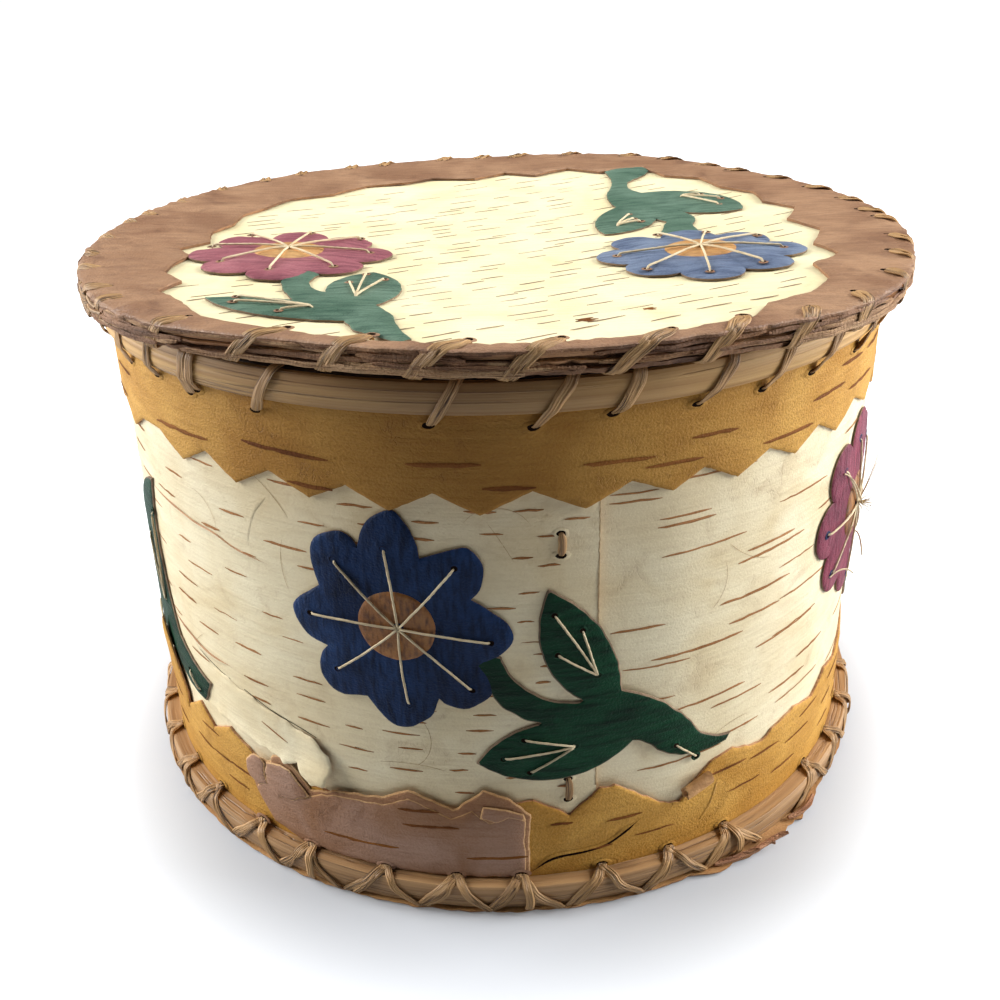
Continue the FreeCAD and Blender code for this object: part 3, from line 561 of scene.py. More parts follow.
alongs = sorted(set(list(np.arange(-LAP, 0, 2.2)) + list(np.arange(0, CLIMB, 2.0))
                    + list(np.arange(CLIMB, ROUND, 2.6)) + [ROUND]))
highs = np.linspace(WALL_LOW, WALL_TOP, 58)
outside, inside = [], []
for along in alongs:
    lift, across = wall_lift(along), SEAM + along
    swells = [lift + wall_swell(across, high) for high in highs]
    outside.append([around(across, high, swell) for high, swell in zip(highs, swells)])
    inside.append([around(across, high, swell - WALL_BARK) for high, swell in zip(highs, swells)])
wall = Bundle()
sheet(wall, outside, inside, closed=False)
make_piece("wall", wall, "box", [WHITE, INSIDE, CUT_EDGE], "white_bark", ["wall_sheet"])

# %% [markdown]
# ### The two bands
#
# The bands are golden bark with pointed teeth, cut by eye: the tips are not evenly spaced. Their
# edge is a line of tips and notches that repeats round the box, read off wherever a column of
# the grid stands. The foot band is torn down on the right of the front and slants away at left.

# %% Edges of the bands
def teeth_line(known, gap, tip, notch, seed):
    """Known (across, high) points, then even teeth with a little play, once round the box."""
    chance = random.Random(seed)
    across, line = known[-1][0], list(known)
    left = known[0][0] + ROUND - across
    count = 2 * round(left / gap)
    for step in range(1, count):
        level = notch if step % 2 else tip
        line.append((across + left * (step + 0.3 * chance.uniform(-1, 1)) / count,
                     level + chance.uniform(-0.8, 0.8)))
    return line


def level_at(line, across):
    spots = sorted((point[0] % ROUND, point[1]) for point in line)
    return float(np.interp(across % ROUND, [p[0] for p in spots], [p[1] for p in spots],
                           period=ROUND))


TOP_EDGE = teeth_line([(-98, 123.4), (-87.5, 118.2), (-77, 123.6), (-67.1, 117.6), (-56, 123.4),
                       (-45.2, 118.4), (-35.5, 123), (-25.4, 117.5), (-15, 122.6),
                       (-4.4, 117.2), (7.5, 122.9), (19.6, 117.4), (30.5, 123), (40.9, 118.6),
                       (49, 123.1), (59.1, 118), (69, 122.8), (78.8, 118.4), (88.5, 123.2),
                       (98.4, 118.2)], 20.6, 118, 123.2, 5)
FOOT_EDGE = teeth_line([(-137, 34), (-112.4, 29), (-102.9, 35.6), (-95.3, 30.6),
                        (-85.9, 35.4), (-78.3, 32.2), (-72, 29), (-40, 29.5), (-8, 31),
                        (6.6, 33.8), (11, 31.2), (16.2, 27.9), (20.5, 31.9), (23.8, 34.8),
                        (28.2, 35.4), (32.2, 32.8), (37.5, 28.9), (41.5, 25.6), (47.5, 23.6),
                        (50, 27.5), (57.4, 33.4), (65, 34.6), (71, 32.2), (76.7, 31),
                        (81.3, 33), (92.1, 34.5), (104, 31.4), (114, 36)],
                       20.6, 37, 31.8, 6)

# %% [markdown]
# ### Cutting the bands
#
# A band is the strip between its even edge and its toothed one. Along the teeth the bark curls
# off the wall a little, as it does when it dries. Each tip and each notch gets a column of the
# grid to itself, so it stays sharp.

# %% Cut the bands
BAND_BARK = 1.0  # mm, the thickness of the band's bark


def cut_band(name, edge, low, high, finishes, slot, stands_for, torn=0.0):
    """Band whose toothed edge is below (low is None) or above (high is None)."""
    corners = [point[0] % ROUND for point in edge]
    stops = sorted(set(corners + [float(stop) for stop in np.arange(0, ROUND, 1.3)]))
    shares = (0.0, 0.012, 0.04, 0.12, 0.3, 0.55, 0.8, 1.0)
    outside, inside = [], []
    for across in stops:
        fray = 0.25 * wander(across * 0.9, 2.0) + torn * wander(across * 0.35, 7.0)
        cut = level_at(edge, across) + fray
        bottom, top = (cut, high) if low is None else (low, cut)
        outer, inner = [], []
        for share in shares:
            share = share if low is None else 1 - share
            level = bottom + (top - bottom) * share
            away = abs(level - cut)
            lift = 0.05 + 0.10 * wander(across / 15, level / 11, 5)
            lift += 0.35 * max(0.0, wander(across / 9, 4.0)) * (1 - ease(away / 5))
            rounding = 0.35 * (1 - min(away / 0.7, 1.0)) ** 2
            outer.append(around(across, level, BAND_BARK + lift - rounding))
            inner.append(around(across, level, max(lift, 0.0)))
        outside.append(outer)
        inside.append(inner)
    band = Bundle()
    sheet(band, outside, inside, closed=True)
    make_piece(name, band, "box", finishes, slot, stands_for)


BAND_TOP, BAND_LOW = measured("top_band")[3], measured("low_band")[2]
cut_band("rim_band", TOP_EDGE, None, BAND_TOP, [GOLDEN, GOLDEN, CUT_EDGE], "golden_bark",
         ["top_band"])
cut_band("foot_band", FOOT_EDGE, BAND_LOW, None, [GOLDEN, GOLDEN, CUT_EDGE], "golden_bark",
         ["low_band"], torn=0.5)

# %% [markdown]
# ### Lenticels
#
# The dark dashes of birch bark are lenticels, the pores of the living tree. They run round the
# trunk, lens-shaped and a little raised. Shader patterns could draw them, but small lens-shaped
# meshes stay crisp at any size and can be placed one by one where they matter. The rest are
# scattered with a seeded chance that keeps them apart: short and close left of the seam, long and
# sparse right of it, as the one sheet of bark grew.

# %% Dashes
def dash(bundle, place, across, high, long, tall, tilt, finish=0):
    """One lenticel of a length and a height, tilted by a slope."""
    steps = max(4, int(long / 2.2))
    points = []
    for step in range(steps + 1):
        share = 2 * step / steps - 1
        half = tall / 2 * (1 - 0.7 * share ** 8)
        half *= 1 + 0.45 * wander(across + share * long / 3, high, 1)
        middle = high + tilt * share * long / 2 + 0.3 * wander(across + share * long / 5, high)
        for side, up in ((-1, 0.02), (-0.5, 0.10), (0.5, 0.12), (1, 0.02)):
            points.append(place(across + share * long / 2, middle + side * half, up))
    bundle.add(points, lattice(steps, 4), finish)


def lay_dashes(chance, bundle, place, spots, tall, tilt):
    """Dashes at (across, high, long) spots; each one's height and tilt are left to chance."""
    for across, high, long in spots:
        dash(bundle, place, across, high, long, chance.uniform(*tall), chance.uniform(-tilt, tilt))


def scatter(chance, tries, area, length_at, apart, taken=()):
    """Dashes (across, high, long) at random in an area, none too near another."""
    spots = list(taken)
    for _ in range(tries):
        across, high = chance.uniform(*area[0]), chance.uniform(*area[1])
        long = length_at(across) * chance.uniform(0.65, 1.3)
        gap = apart(across)
        if all(abs(high - other[1]) > gap or abs(across - other[0]) > (long + other[2]) / 2 + gap
               for other in spots):
            spots.append((across, high, long))
    return spots[len(taken):]


# %% [markdown]
# ### Lenticels of the wall
#
# The boldest dashes are listed one by one, since the eye finds them first, and chance fills the
# sheet round them. A dash that would cross the seam is left out, because the sheet ends there.

# %% Lenticels of the wall
def on_wall_bark(across, high, up):
    """Just above the wall's bark, which lies deeper right of the seam."""
    past = (across - SEAM) % ROUND
    return around(across, high, wall_lift(past) + wall_swell(across, high) + up + 0.03)


chance = random.Random(11)
BOLD = [(31.8, 119, 12), (32.2, 116.8, 13), (45.8, 109, 16), (51.7, 101.1, 25), (75, 93.2, 26),
        (70, 82.5, 26), (92, 75.9, 25), (51.6, 71.7, 28), (88.6, 65.2, 22), (87.6, 46.1, 18),
        (56, 54.6, 24), (65.2, 40.3, 19), (27.7, 107.8, 9), (-71.3, 107.9, 9), (-54.6, 103, 13),
        (-89.7, 85.7, 12), (-61.5, 81.2, 7), (-80.4, 75, 10), (-72.5, 67.3, 10), (-52, 58.8, 9),
        (-52.1, 51, 10), (-26.8, 53.6, 10), (-26.1, 42, 9), (-39.7, 46.1, 10), (-6.4, 56.1, 7),
        (-34, 117.6, 9), (-2, 112, 5.5), (5, 105.5, 5), (11.2, 103.2, 5.4), (6.4, 96, 5),
        (20.2, 95.3, 5), (17.8, 114.9, 6)]


def clear_of_seam(spot):
    """Whether a dash ends before it reaches the seam."""
    past, room = (spot[0] - SEAM) % ROUND, spot[2] / 2 + 1
    return room <= past <= ROUND - room


def wall_dash_long(across):
    past = (across - SEAM) % ROUND / ROUND
    return np.interp(past, (0.0, 0.2, 0.6, 0.85, 0.94, 1.0), (21, 20, 13, 10, 6.5, 5))


def wall_dash_gap(across):
    past = (across - SEAM) % ROUND / ROUND
    return np.interp(past, (0.0, 0.2, 0.7, 0.87, 0.94, 1.0), (8.5, 7.5, 6.0, 5.5, 3.6, 3.2))


spots = BOLD + scatter(chance, 2600, ((SEAM - ROUND, SEAM), (36, 122)), wall_dash_long,
                       wall_dash_gap, BOLD)
scars = Bundle()
lay_dashes(chance, scars, on_wall_bark, filter(clear_of_seam, spots), (0.5, 0.8), 0.03)
make_piece("wall_lenticels", scars, "box", [SCAR])
print("dashes on the wall:", len(spots))

# %% [markdown]
# ### Lenticels of the bands
#
# Golden bark has fewer dashes, and they are longer and thicker. They lie on the band and follow
# its own swell. On the foot band only those below the toothed edge are kept.

# %% Lenticels of the bands
def on_band(across, high, up):
    return around(across, high, 1.14 + up + 0.10 * wander(across / 15, high / 11, 5))


chance = random.Random(12)
BAND_BOLD = [(-86.5, 126.6, 23), (-51, 129.3, 24), (-12.2, 129.8, 17), (-44.5, 121.6, 12),
             (2.3, 124, 12), (27.3, 128.5, 17), (40.8, 125.9, 15), (51.4, 131.2, 13),
             (75.5, 124.8, 19), (92, 131, 16), (104, 136, 14)]
scars = Bundle()
high_spots = BAND_BOLD + scatter(chance, 500, ((110, ROUND - 110), (124, 138)),
                                 lambda across: 17, lambda across: 6.5)
lay_dashes(chance, scars, on_band, high_spots, (0.8, 1.15), 0.05)
LOW_BOLD = [(14, 25.6, 6), (31, 24.2, 10), (40, 17, 12), (24, 15.6, 8), (63, 29, 14),
            (78, 27.5, 13), (95, 24, 14), (70, 20, 13), (88, 17, 12), (-92, 22, 10)]
low_spots = LOW_BOLD + scatter(chance, 700, ((100, ROUND - 80), (13, 31)), lambda across: 12,
                               lambda across: 5.0, LOW_BOLD)
low_spots = [spot for spot in low_spots if level_at(FOOT_EDGE, spot[0]) > spot[1] + 2]
lay_dashes(chance, scars, on_band, low_spots, (0.6, 0.9), 0.05)
make_piece("band_lenticels", scars, "box", [BAND_SCAR])

# %% [markdown]
# ### Creases, scratches and the seam's worn edge
#
# The outer skin of the bark has split and lifted along a few long creases at the left. A crease
# is a low ramp that breaks off on one side and shows the tan bark below. The band has a crack at
# its foot, whose dark middle is painted shade. A dark line of painted shadow runs along the upper
# edge of the loose flap of skin. Fine scratches cross the white bark, and the seam's edge is worn
# tan.

# %% Creases and cracks
LIFTED = ((-1.6, 0.0), (-0.5, 0.22), (0.0, 0.34), (0.25, 0.0))
CREASES = (
    [(-116, 101.5), (-98.8, 100.9), (-87.8, 100), (-79.4, 99.6), (-72.1, 97.8), (-60.3, 96.3)],
    [(-118, 60.5), (-104, 59), (-92, 57.4), (-80, 57.8)],
)
WRINKLE = [(-58.5, 115.6), (-62.5, 111.5), (-64.6, 107.5), (-66.4, 102.5), (-67, 98.6)]
marks = Bundle()
for points in CREASES:
    ridge(marks, on_wall_bark, points, LIFTED, (0, 0, 1))
ridge(marks, on_wall_bark, WRINKLE, ((-0.9, 0.0), (0.0, 0.09), (0.3, 0.0)), (0, 0))
GROOVE = ((-0.45, 0.0), (0.35, 0.0), (0.6, 0.28), (1.3, 0.0))
CRACKS_AND_SHADOW_LINE = (
    [(5.6, 9.6), (11.9, 13.9), (20.6, 14.9), (26, 16), (30.5, 18.6), (35.6, 22.5)],
    [(53, 13.5), (57, 18), (59, 23), (59.5, 27)],
    [(-100, 56.6), (-94.7, 55.2), (-85.3, 53.4), (-76.6, 52.3), (-67.2, 49.8), (-57, 47.7),
     (-49.3, 45.4), (-43.1, 46.3), (-36.5, 46.5)],
)
# The groove's dark middle strip is painted shade inside the crack.
ridge(marks, on_band, CRACKS_AND_SHADOW_LINE[0], GROOVE, (2, 1, 3))
ridge(marks, on_band, CRACKS_AND_SHADOW_LINE[1], ((-0.1, 0.0), (0.1, 0.12), (0.5, 0.0)), (1, 3))
# A line of painted shadow along the loose flap's upper edge.
ridge(marks, on_wall_bark, CRACKS_AND_SHADOW_LINE[2], ((-0.14, 0.0), (0.12, 0.0)), (2,))
SCRATCH_STEP = 3.2
chance = random.Random(13)
for index in range(60):
    across, high = chance.uniform(SEAM - ROUND, SEAM), chance.uniform(40, 118)
    heading, bend = chance.uniform(0, pi), chance.uniform(-0.5, 0.5)
    points = [(across, high)]
    for step in range(chance.randint(3, 6)):
        heading += bend
        x, y = points[-1]
        points.append((x + SCRATCH_STEP * cos(heading), y + SCRATCH_STEP * sin(heading)))
    past = [(x - SEAM) % ROUND for x, y in points]
    if min(past) > 3 and max(past) < ROUND - 3 and max(past) - min(past) < 60:
        ridge(marks, on_wall_bark, points, ((-0.07, 0.0), (0.07, 0.0)), (4,))
rows = np.linspace(WALL_LOW + 34, WALL_TOP - 24, 90)
edge_points = [around(SEAM - wide - 0.25 * wander(high / 1.3, wide), high, lift)
               for high in rows for wide, lift in ((0.35, 0.08), (0.02, 0.12), (-0.03, -1.1))]
marks.add(edge_points, lattice(len(rows) - 1, 3), 4)
FAINT = bark("scratch", (206, 182, 140), (188, 158, 112), (150, 112, 70), grain=0.6)
make_piece("creases_cracks_and_shadow_line", marks, "box", [WHITE, CUT_EDGE, HOLE_SHADE, GOLDEN, FAINT])

# %% [markdown]
# ## Cut bark shapes
#
# Flowers, leaves and patches are cut from bark with a knife, so each has an outline, a cut edge
# and a face that swells a little between its stitches. The outline is written as a start point
# and steps: a point for a straight cut, or a pair (a point that an arc passes, its end).

# %% Outlines
def arc_points(start, via, end, step):
    """Points after start along the arc through via to end."""
    ax, ay, bx, by, cx, cy = *start, *via, *end
    twice = 2 * (ax * (by - cy) + bx * (cy - ay) + cx * (ay - by))
    if abs(twice) < 1e-6:
        return [end]
    a2, b2, c2 = ax * ax + ay * ay, bx * bx + by * by, cx * cx + cy * cy
    mx = (a2 * (by - cy) + b2 * (cy - ay) + c2 * (ay - by)) / twice
    my = (a2 * (cx - bx) + b2 * (ax - cx) + c2 * (bx - ax)) / twice
    reach = hypot(ax - mx, ay - my)
    first, mid, last = (atan2(y - my, x - mx) for x, y in (start, via, end))
    turn = (last - first) % tau
    if (mid - first) % tau > turn:
        turn -= tau
    count = max(2, int(abs(turn) * reach / step))
    return [(mx + reach * cos(first + turn * i / count),
             my + reach * sin(first + turn * i / count)) for i in range(1, count + 1)]


def knife_line(outline, shake, step=0.9):
    """Outline as close points, anticlockwise, shaken a little as a hand-held knife does."""
    points = [outline[0]]
    for stop in outline[1:] + [outline[0]]:
        if isinstance(stop[0], tuple):
            points += arc_points(points[-1], stop[0], stop[1], step)
            continue
        span = dist(points[-1], stop)
        count = max(1, int(span / step))
        x, y = points[-1]
        points += [(x + (stop[0] - x) * i / count, y + (stop[1] - y) * i / count)
                   for i in range(1, count + 1)]
    line = np.array([p for p, q in zip(points, points[1:]) if dist(p, q) > 0.05])
    if np.sum(line[:, 0] * np.roll(line[:, 1], -1) - line[:, 1] * np.roll(line[:, 0], -1)) < 0:
        line = line[::-1]
    return line + shake * np.array([(wander(x / 3, y / 3, 1), wander(x / 3, y / 3, 9))
                                    for x, y in line])


def away_from(line, spots):
    """How far each spot lies from the nearest point of a line."""
    return np.linalg.norm(spots[:, None] - line[None], axis=2).min(1)


def is_inside(spots, line):
    """Which spots lie inside a closed line."""
    inside = np.zeros(len(spots), bool)
    for (ax, ay), (bx, by) in zip(line, np.roll(line, -1, axis=0)):
        crosses = (ay > spots[:, 1]) != (by > spots[:, 1])
        if crosses.any():
            at = ax + (spots[:, 1] - ay) * (bx - ax) / (by - ay + 1e-12)
            inside ^= crosses & (spots[:, 0] < at)
    return inside


# %% [markdown]
# ### From an outline to a piece of bark
#
# A filled curve would be flat and stiff. Here points fill the outline and Delaunay's rule joins
# them to small even triangles. So the piece can bend round the wall, swell between its edges and
# sink where a stitch pulls it down.

# %% Fill and thicken an outline
CUT = 1  # a cut piece's edges and underside take the second of its finishes


def cut_shape(bundle, outline, place, thick, puff=0.0, mesh_step=2.4, face=0, shake=0.15,
              worn=False, pins=()):
    """Bark cut to an outline; place turns (x, y, lift) into space. Its underside is at lift 0.

    Puff is how far it swells between its edges; at each pin a stitch pulls it down.
    """
    line = knife_line(outline, shake)
    count = len(line)
    ahead = np.roll(line, -1, axis=0) - np.roll(line, 1, axis=0)
    inward = np.stack([-ahead[:, 1], ahead[:, 0]], 1) / np.linalg.norm(ahead, axis=1)[:, None]
    low, high = line.min(0), line.max(0)
    grid = np.array([(x + (mesh_step / 2 if row % 2 else 0), y)
                     for row, y in enumerate(np.arange(low[1], high[1], mesh_step * 0.87))
                     for x in np.arange(low[0], high[0], mesh_step)])
    extra = [(line + 0.35 * inward, 0.3), (line + 0.9 * inward, 0.75), (grid, 1.5)]
    spots = [line]
    for group, least in extra:
        spots.append(group[is_inside(group, line) & (away_from(line, group) > least)])
    spots = np.concatenate(spots)
    border = [(i, (i + 1) % count) for i in range(count)]
    flat, _, triangles, origins = delaunay_2d_cdt([Vector(p) for p in spots], border, [], 1,
                                                  1e-5)[:4]
    flat = np.array([tuple(p) for p in flat])
    depth = away_from(line, flat)
    top = []
    for (x, y), deep in zip(flat, depth):
        lift = thick - 0.4 * (1 - min(deep / 0.9, 1.0)) ** 2
        lift += puff * ease(deep / 7) + 0.10 * ease(deep / 2) * wander(x / 5, y / 5, 4)
        pinned = min((dist((x, y), pin) for pin in pins), default=99.0)
        lift -= 0.6 * puff * exp(-(pinned / 2.4) ** 2)
        top.append(place(x, y, lift))
    bottom = [place(x, y, 0.0) for x, y in flat]
    rubbed = [worn and max(depth[corner] for corner in t) < 0.45 for t in triangles]
    bundle.add(top, [tuple(t) for t in triangles], face)
    bundle.finish[-len(triangles):] = [CUT if is_rubbed else face for is_rubbed in rubbed]
    start, size = len(bundle.points) - len(top), len(top)
    bundle.add(bottom, [tuple(reversed(t)) for t in triangles], CUT)
    now = {old: new for new, olds in enumerate(origins) for old in olds}
    rim = [now[i] for i in range(count)]
    for here, there in zip(rim, rim[1:] + rim[:1]):
        if here != there:
            bundle.cover(start, [(here, there, size + there, size + here)], CUT)


# %% [markdown]
# ### Flowers and leaves of the wall
#
# Each motif is an eight-petalled flower with a round centre, and a spray of leaves on a stem
# beside it, a common ornament of bark work. The navy flower was cut unevenly, so its petals are
# drawn point by point. The others have plain round petals that differ a little in reach.

# %% Outlines of the wall's motifs
NOTCH = 0.76  # reach of the notches between the petals, as a share of the flower's reach


def flower_outline(reach, petals, centre):
    """Round petals, each an arc between two notches that passes its own tip."""
    count = len(petals)

    def at(turn, radius):
        return (centre[0] + radius * cos(turn), centre[1] + radius * sin(turn))

    notches = [at(pi / 2 - (2 * index - 1) * pi / count, NOTCH * reach) for index in range(count)]
    return [notches[0]] + [(at(pi / 2 - 2 * index * pi / count, reach * share),
                            notches[(index + 1) % count]) for index, share in enumerate(petals)]


def round_outline(reach, centre):
    x, y = centre
    return [(x + reach, y), ((x, y + reach), (x - reach, y)), ((x, y - reach), (x + reach, y))]


def hand_cut(petals):
    """Closed outline that curves through each petal's points and turns sharply at its notches."""
    return [tuple(point) for petal, following in zip(petals, petals[1:] + petals[:1])
            for point in smooth_line(petal + following[:1])[:-1]]


# The navy flower was cut by eye. Each petal starts at the notch before it.
NAVY_PETALS = (
    [(-9.3, 107.1), (-7.9, 111.9), (-4.8, 115.8), (0.1, 117.6), (3.4, 113.7), (5.3, 108.9)],
    [(5.9, 105.6), (11.9, 107.7), (17, 108.6), (20.4, 104.3), (20, 98.4)],
    [(17.5, 94.8), (21.8, 91.7), (25.9, 87.9), (27.2, 83.7), (24.5, 79.6)],
    [(19.3, 76.5), (21.4, 71.8), (21.5, 67.4), (15.8, 63.3), (10.8, 64)],
    [(8.6, 65.9), (6.2, 60.2), (-0.2, 56.2), (-5, 57.6)],
    [(-10.1, 64.2), (-18.3, 63.7), (-22.6, 68.4), (-22.1, 74.2)],
    [(-20, 77.3), (-25.7, 79.6), (-28.8, 85), (-28, 88.9)],
    [(-20.6, 94.6), (-22.2, 101.8), (-20.7, 107.5), (-14.7, 110.6), (-10.8, 109.5)],
)
PLAIN_PETALS = (1.0, 0.97, 1.02, 0.98, 1.01, 0.96, 1.0, 1.02)
LOW_SPRAY = [
    (-35.8, 82), (-28.2, 78.3), ((-20.8, 67.5), (-8.3, 63.7)), ((-18.8, 80), (-16.7, 96.8)),
    ((-3, 83), (1.8, 65.4)), ((15.7, 56.8), (24.2, 46.5)), ((29.2, 42.6), (36, 40.6)),
    (34.5, 38.6), ((20.7, 39.2), (12.2, 43.4)), ((9, 46.8), (5.2, 48.8)),
    ((-13.8, 40), (-35.3, 46.1)), ((-28.3, 54.2), (-18.9, 58.3)), ((-26.3, 61.8), (-31.3, 68)),
    (-38, 75),
]
TALL_SPRAY = [
    (-50, 86), (-42, 80), ((-31, 67), (-12, 61)), ((-9, 84), (15.6, 104)), ((10.5, 77), (17, 54)),
    ((24, 50), (35, 46.5)), (30, 38), ((18, 39.5), (8, 45.5)), ((-10, 39), (-29, 44.5)),
    ((-22, 51.6), (-12, 52.6)), ((-28, 61), (-39, 71.5)), (-48, 77),
]
# Leaf threads: where they meet, then the holes they come from.
LOW_VEINS = [((-4.8, 71.4), (-15.5, 89.9), (-8.7, 84.9), (-14.8, 78.6)),
             ((-10.4, 50.5), (-23.2, 53.7), (-28.4, 48), (-21.9, 43.3)),
             ((24, 37.8), (17.4, 43.7))]
TALL_VEINS = [((9, 62), (11, 92), (2, 82)),
              ((0, 48), (-14, 50), (-20, 45.5), (-11, 43.5)),
              ((28, 41), (22, 45))]
FLOWER_REACH, FLOWER_HIGH, DISC_REACH = 28.6, 86.7, 9.6
# Colour, turn of the flower, turn of the spray, spray, its threads.
WALL_MOTIFS = (
    ("navy", -12.7, 14.3, LOW_SPRAY, LOW_VEINS),
    ("burgundy", 63.7, 90.7, LOW_SPRAY, LOW_VEINS),
    ("navy", 146.0, 173.0, LOW_SPRAY, LOW_VEINS),
    ("burgundy", -103.0, -66.0, TALL_SPRAY, TALL_VEINS),
)

# %% [markdown]
# ### Laying the motifs on the wall
#
# Each shape is drawn flat and laid on the wall at its own turn. The flowers lie over the sprays
# and the round centres over the flowers, each a bark's thickness higher.

# %% Cut the wall's motifs
def at_turn(turn, base):
    """Place for a shape drawn about its own turn in degrees, its underside at base."""
    shift = radians(turn) * WALL
    return lambda x, y, lift: around(x + shift, y, base + lift)


flowers = {"navy": Bundle(), "burgundy": Bundle()}
sprays, centres = Bundle(), Bundle()
outlines = {"navy": hand_cut(NAVY_PETALS),
            "burgundy": flower_outline(FLOWER_REACH, PLAIN_PETALS, centre=(0.0, FLOWER_HIGH))}
for colour, turn, spray_turn, spray, veins in WALL_MOTIFS:
    cut_shape(flowers[colour], outlines[colour], at_turn(turn, 0.25), 0.75, puff=0.35, shake=0.2)
    cut_shape(centres, round_outline(DISC_REACH, (-0.8, FLOWER_HIGH)), at_turn(turn, 1.3), 0.5)
    cut_shape(sprays, spray, at_turn(spray_turn, 0.1), 0.75, puff=0.2, shake=0.3, worn=True)
for colour, dye in (("navy", NAVY), ("burgundy", BURGUNDY)):
    make_piece(colour + "_petals", flowers[colour], "box", [dye, DULL_EDGE], colour + "_bark",
               [colour + "_flowers"])
make_piece("petal_centres", centres, "box", [OCHRE, PALE_EDGE], "ochre_bark",
           ["wall_flower_centres"])
make_piece("leaf_sprays", sprays, "box", [LEAF, DULL_EDGE], "dark_green_bark", ["wall_sprays"])

# %% [markdown]
# ### The patch and the torn flap
#
# Left of the seam a mauve-brown patch mends the foot band, cut with its own low teeth. Above it
# a thin skin of white bark has come loose from the wall and laps down over the patch. Far to
# the left one torn tooth of the foot band stands off the wall.

# %% Patch, its upper skin and the loose flap
PATCH = [(-77, 24), (-76.4, 28.4), (-72.3, 31.6), (-68.3, 32.8), ((-64.5, 36.2), (-61.2, 35.4)),
         (-57, 31.2), (-55.2, 28.6), (-50.4, 29.8), (-43.7, 31.8), (-36.4, 32.4), (-32.4, 32.9),
         (-25.4, 36.6), (-19, 33.9), (-14.1, 31.2), (-6.1, 38), (1, 35.2), (5.9, 29.6), (5.2, 9),
         (-31.1, 8.8), (-60, 8.8), (-69.9, 11), (-75.8, 19.3)]
PATCH_SKIN = [(-75, 21), (-73, 24.5), (-69, 27.5), (-62.5, 27), (-57.5, 25), (-51, 29),
              (-43, 30.4), (-33, 30.6), (-25.6, 34.2), (-14.6, 28.9), (-9, 31.6), (-6.5, 29.4),
              (-4.5, 27.6), (1.2, 31), (4.6, 28.2), (4.2, 9), (-31.1, 8.8), (-60, 8.8),
              (-69, 11.6), (-74.2, 18)]
TAB = [(-7.2, 29.6), (-6.2, 33.4), (-0.6, 32.6), (4.2, 30.6), (4.6, 28.6), (0.4, 29.6), (-3.4, 28)]
BULB = [(-77.2, 24), ((-76.9, 31), (-71.5, 33)), (-70.2, 31.5), (-70.6, 27.5), (-69.8, 24.4),
        (-73.5, 22.4)]
FOLD = [(-69.4, 32.5), (-64, 34), (-60.6, 33.4), (-54.8, 26.8), (-59.5, 23.4), (-66, 21.4),
        (-69.8, 25), (-70.2, 28.6)]
patch = Bundle()
cut_shape(patch, PATCH, raised(around, 1.2), 0.55, 0.15, face=3, shake=0.55, worn=True)
for outline, base in ((PATCH_SKIN, 1.7), (TAB, 2.15), (BULB, 2.0), (FOLD, 2.15)):
    cut_shape(patch, outline, raised(around, base), 0.4, 0.12, shake=0.45, worn=True)
for across, high, long in ((-40, 16.4, 22), (-20, 25.6, 15), (-23, 30.6, 11), (-3, 15.9, 16)):
    dash(patch, raised(around, 2.22), across, high, long, 0.9, 0.03, 2)
make_piece("mauve_patch", patch, "box", [MAUVE, PALE_EDGE, BAND_SCAR, MAUVE_UNDER], "dark_bark",
           ["low_band_patch"])


def over_the_band(x, y, lift):
    """The flap grows out of the wall, climbs over the patch, and its tip stands off a little."""
    climb = 2.2 * ease((39.5 - y) / 5.0) + 0.6 * ease((x + 98) / 20)
    return around(x, y, climb - 0.45 + 1.3 * ease((x + 60) / 13) + lift)


flap = Bundle()
FLAP = [(-101, 38), (-97.5, 54.5), (-85.3, 53), (-76.6, 51.8), (-67.2, 49.3), (-57, 47.2),
        (-50.5, 45.2), (-47.6, 42.2), (-47.2, 38), (-48.7, 33.2), (-52.7, 31.4), (-55.6, 33.4),
        (-58.2, 36.4), (-61.6, 34.8), (-66, 36.6), (-72, 37), (-85, 37.5)]
cut_shape(flap, FLAP, over_the_band, 0.4, shake=0.9)
dash(flap, raised(over_the_band, 0.42), -66, 43.0, 9, 0.6, -0.4, 2)
make_piece("loose_skin", flap, "box", [WHITE, CUT_EDGE, SCAR], "white_bark")
tooth = Bundle()
cut_shape(tooth, [(-135, 31), (-131, 44), (-123.5, 54.5), (-120.5, 48), (-116.5, 39),
                  (-112.5, 33), (-113, 27)],
          lambda x, y, lift: around(x, y, 0.6 + 1.3 * ease((y - 31) / 24) + lift), 0.9)
make_piece("loose_tooth", tooth, "box", [GOLDEN, CUT_EDGE], "golden_bark")

# %% [markdown]
# ### A curl on the torn band
#
# Where the foot band has torn, right of the seam, a strip of it has dried into a small roll. It
# is a spiral sheet: its reach from the roll's own axis shrinks as it turns.

# %% Roll up a strip of bark
def roll(bundle, place, across, high, reach, long, turns, lean):
    """Spiral roll lying on the bark, its axis along it and leaning by a slope."""
    outer, inner, steps, first_turn = [], [], 36, 4.0
    for step in range(steps + 1):
        turn = tau * turns * step / steps + first_turn
        radius = reach * (1 - 0.3 * step / steps)
        columns = []
        for thick in (0.0, 0.4):
            columns.append([place(across + run + 0.9 * wander(turn * 1.3, across) * (run < 0),
                                  high + lean * run + (radius - thick) * cos(turn),
                                  reach + (radius - thick) * sin(turn))
                            for run in np.linspace(-long / 2, long / 2, 7)])
        outer.append(columns[0])
        inner.append(columns[1])
    sheet(bundle, outer, inner, closed=False, finishes=(0, 0, 1))


curls = Bundle()
roll(curls, on_band, 51.6, 29.2, 1.9, 7.5, 1.4, 0.36)
CURL = bark("curled_bark", (222, 174, 120), (192, 138, 86), (132, 82, 46), stained=0.6,
            shine=0.3)
make_piece("curl_of_bark", curls, "box", [CURL, PALE_EDGE], "golden_bark")

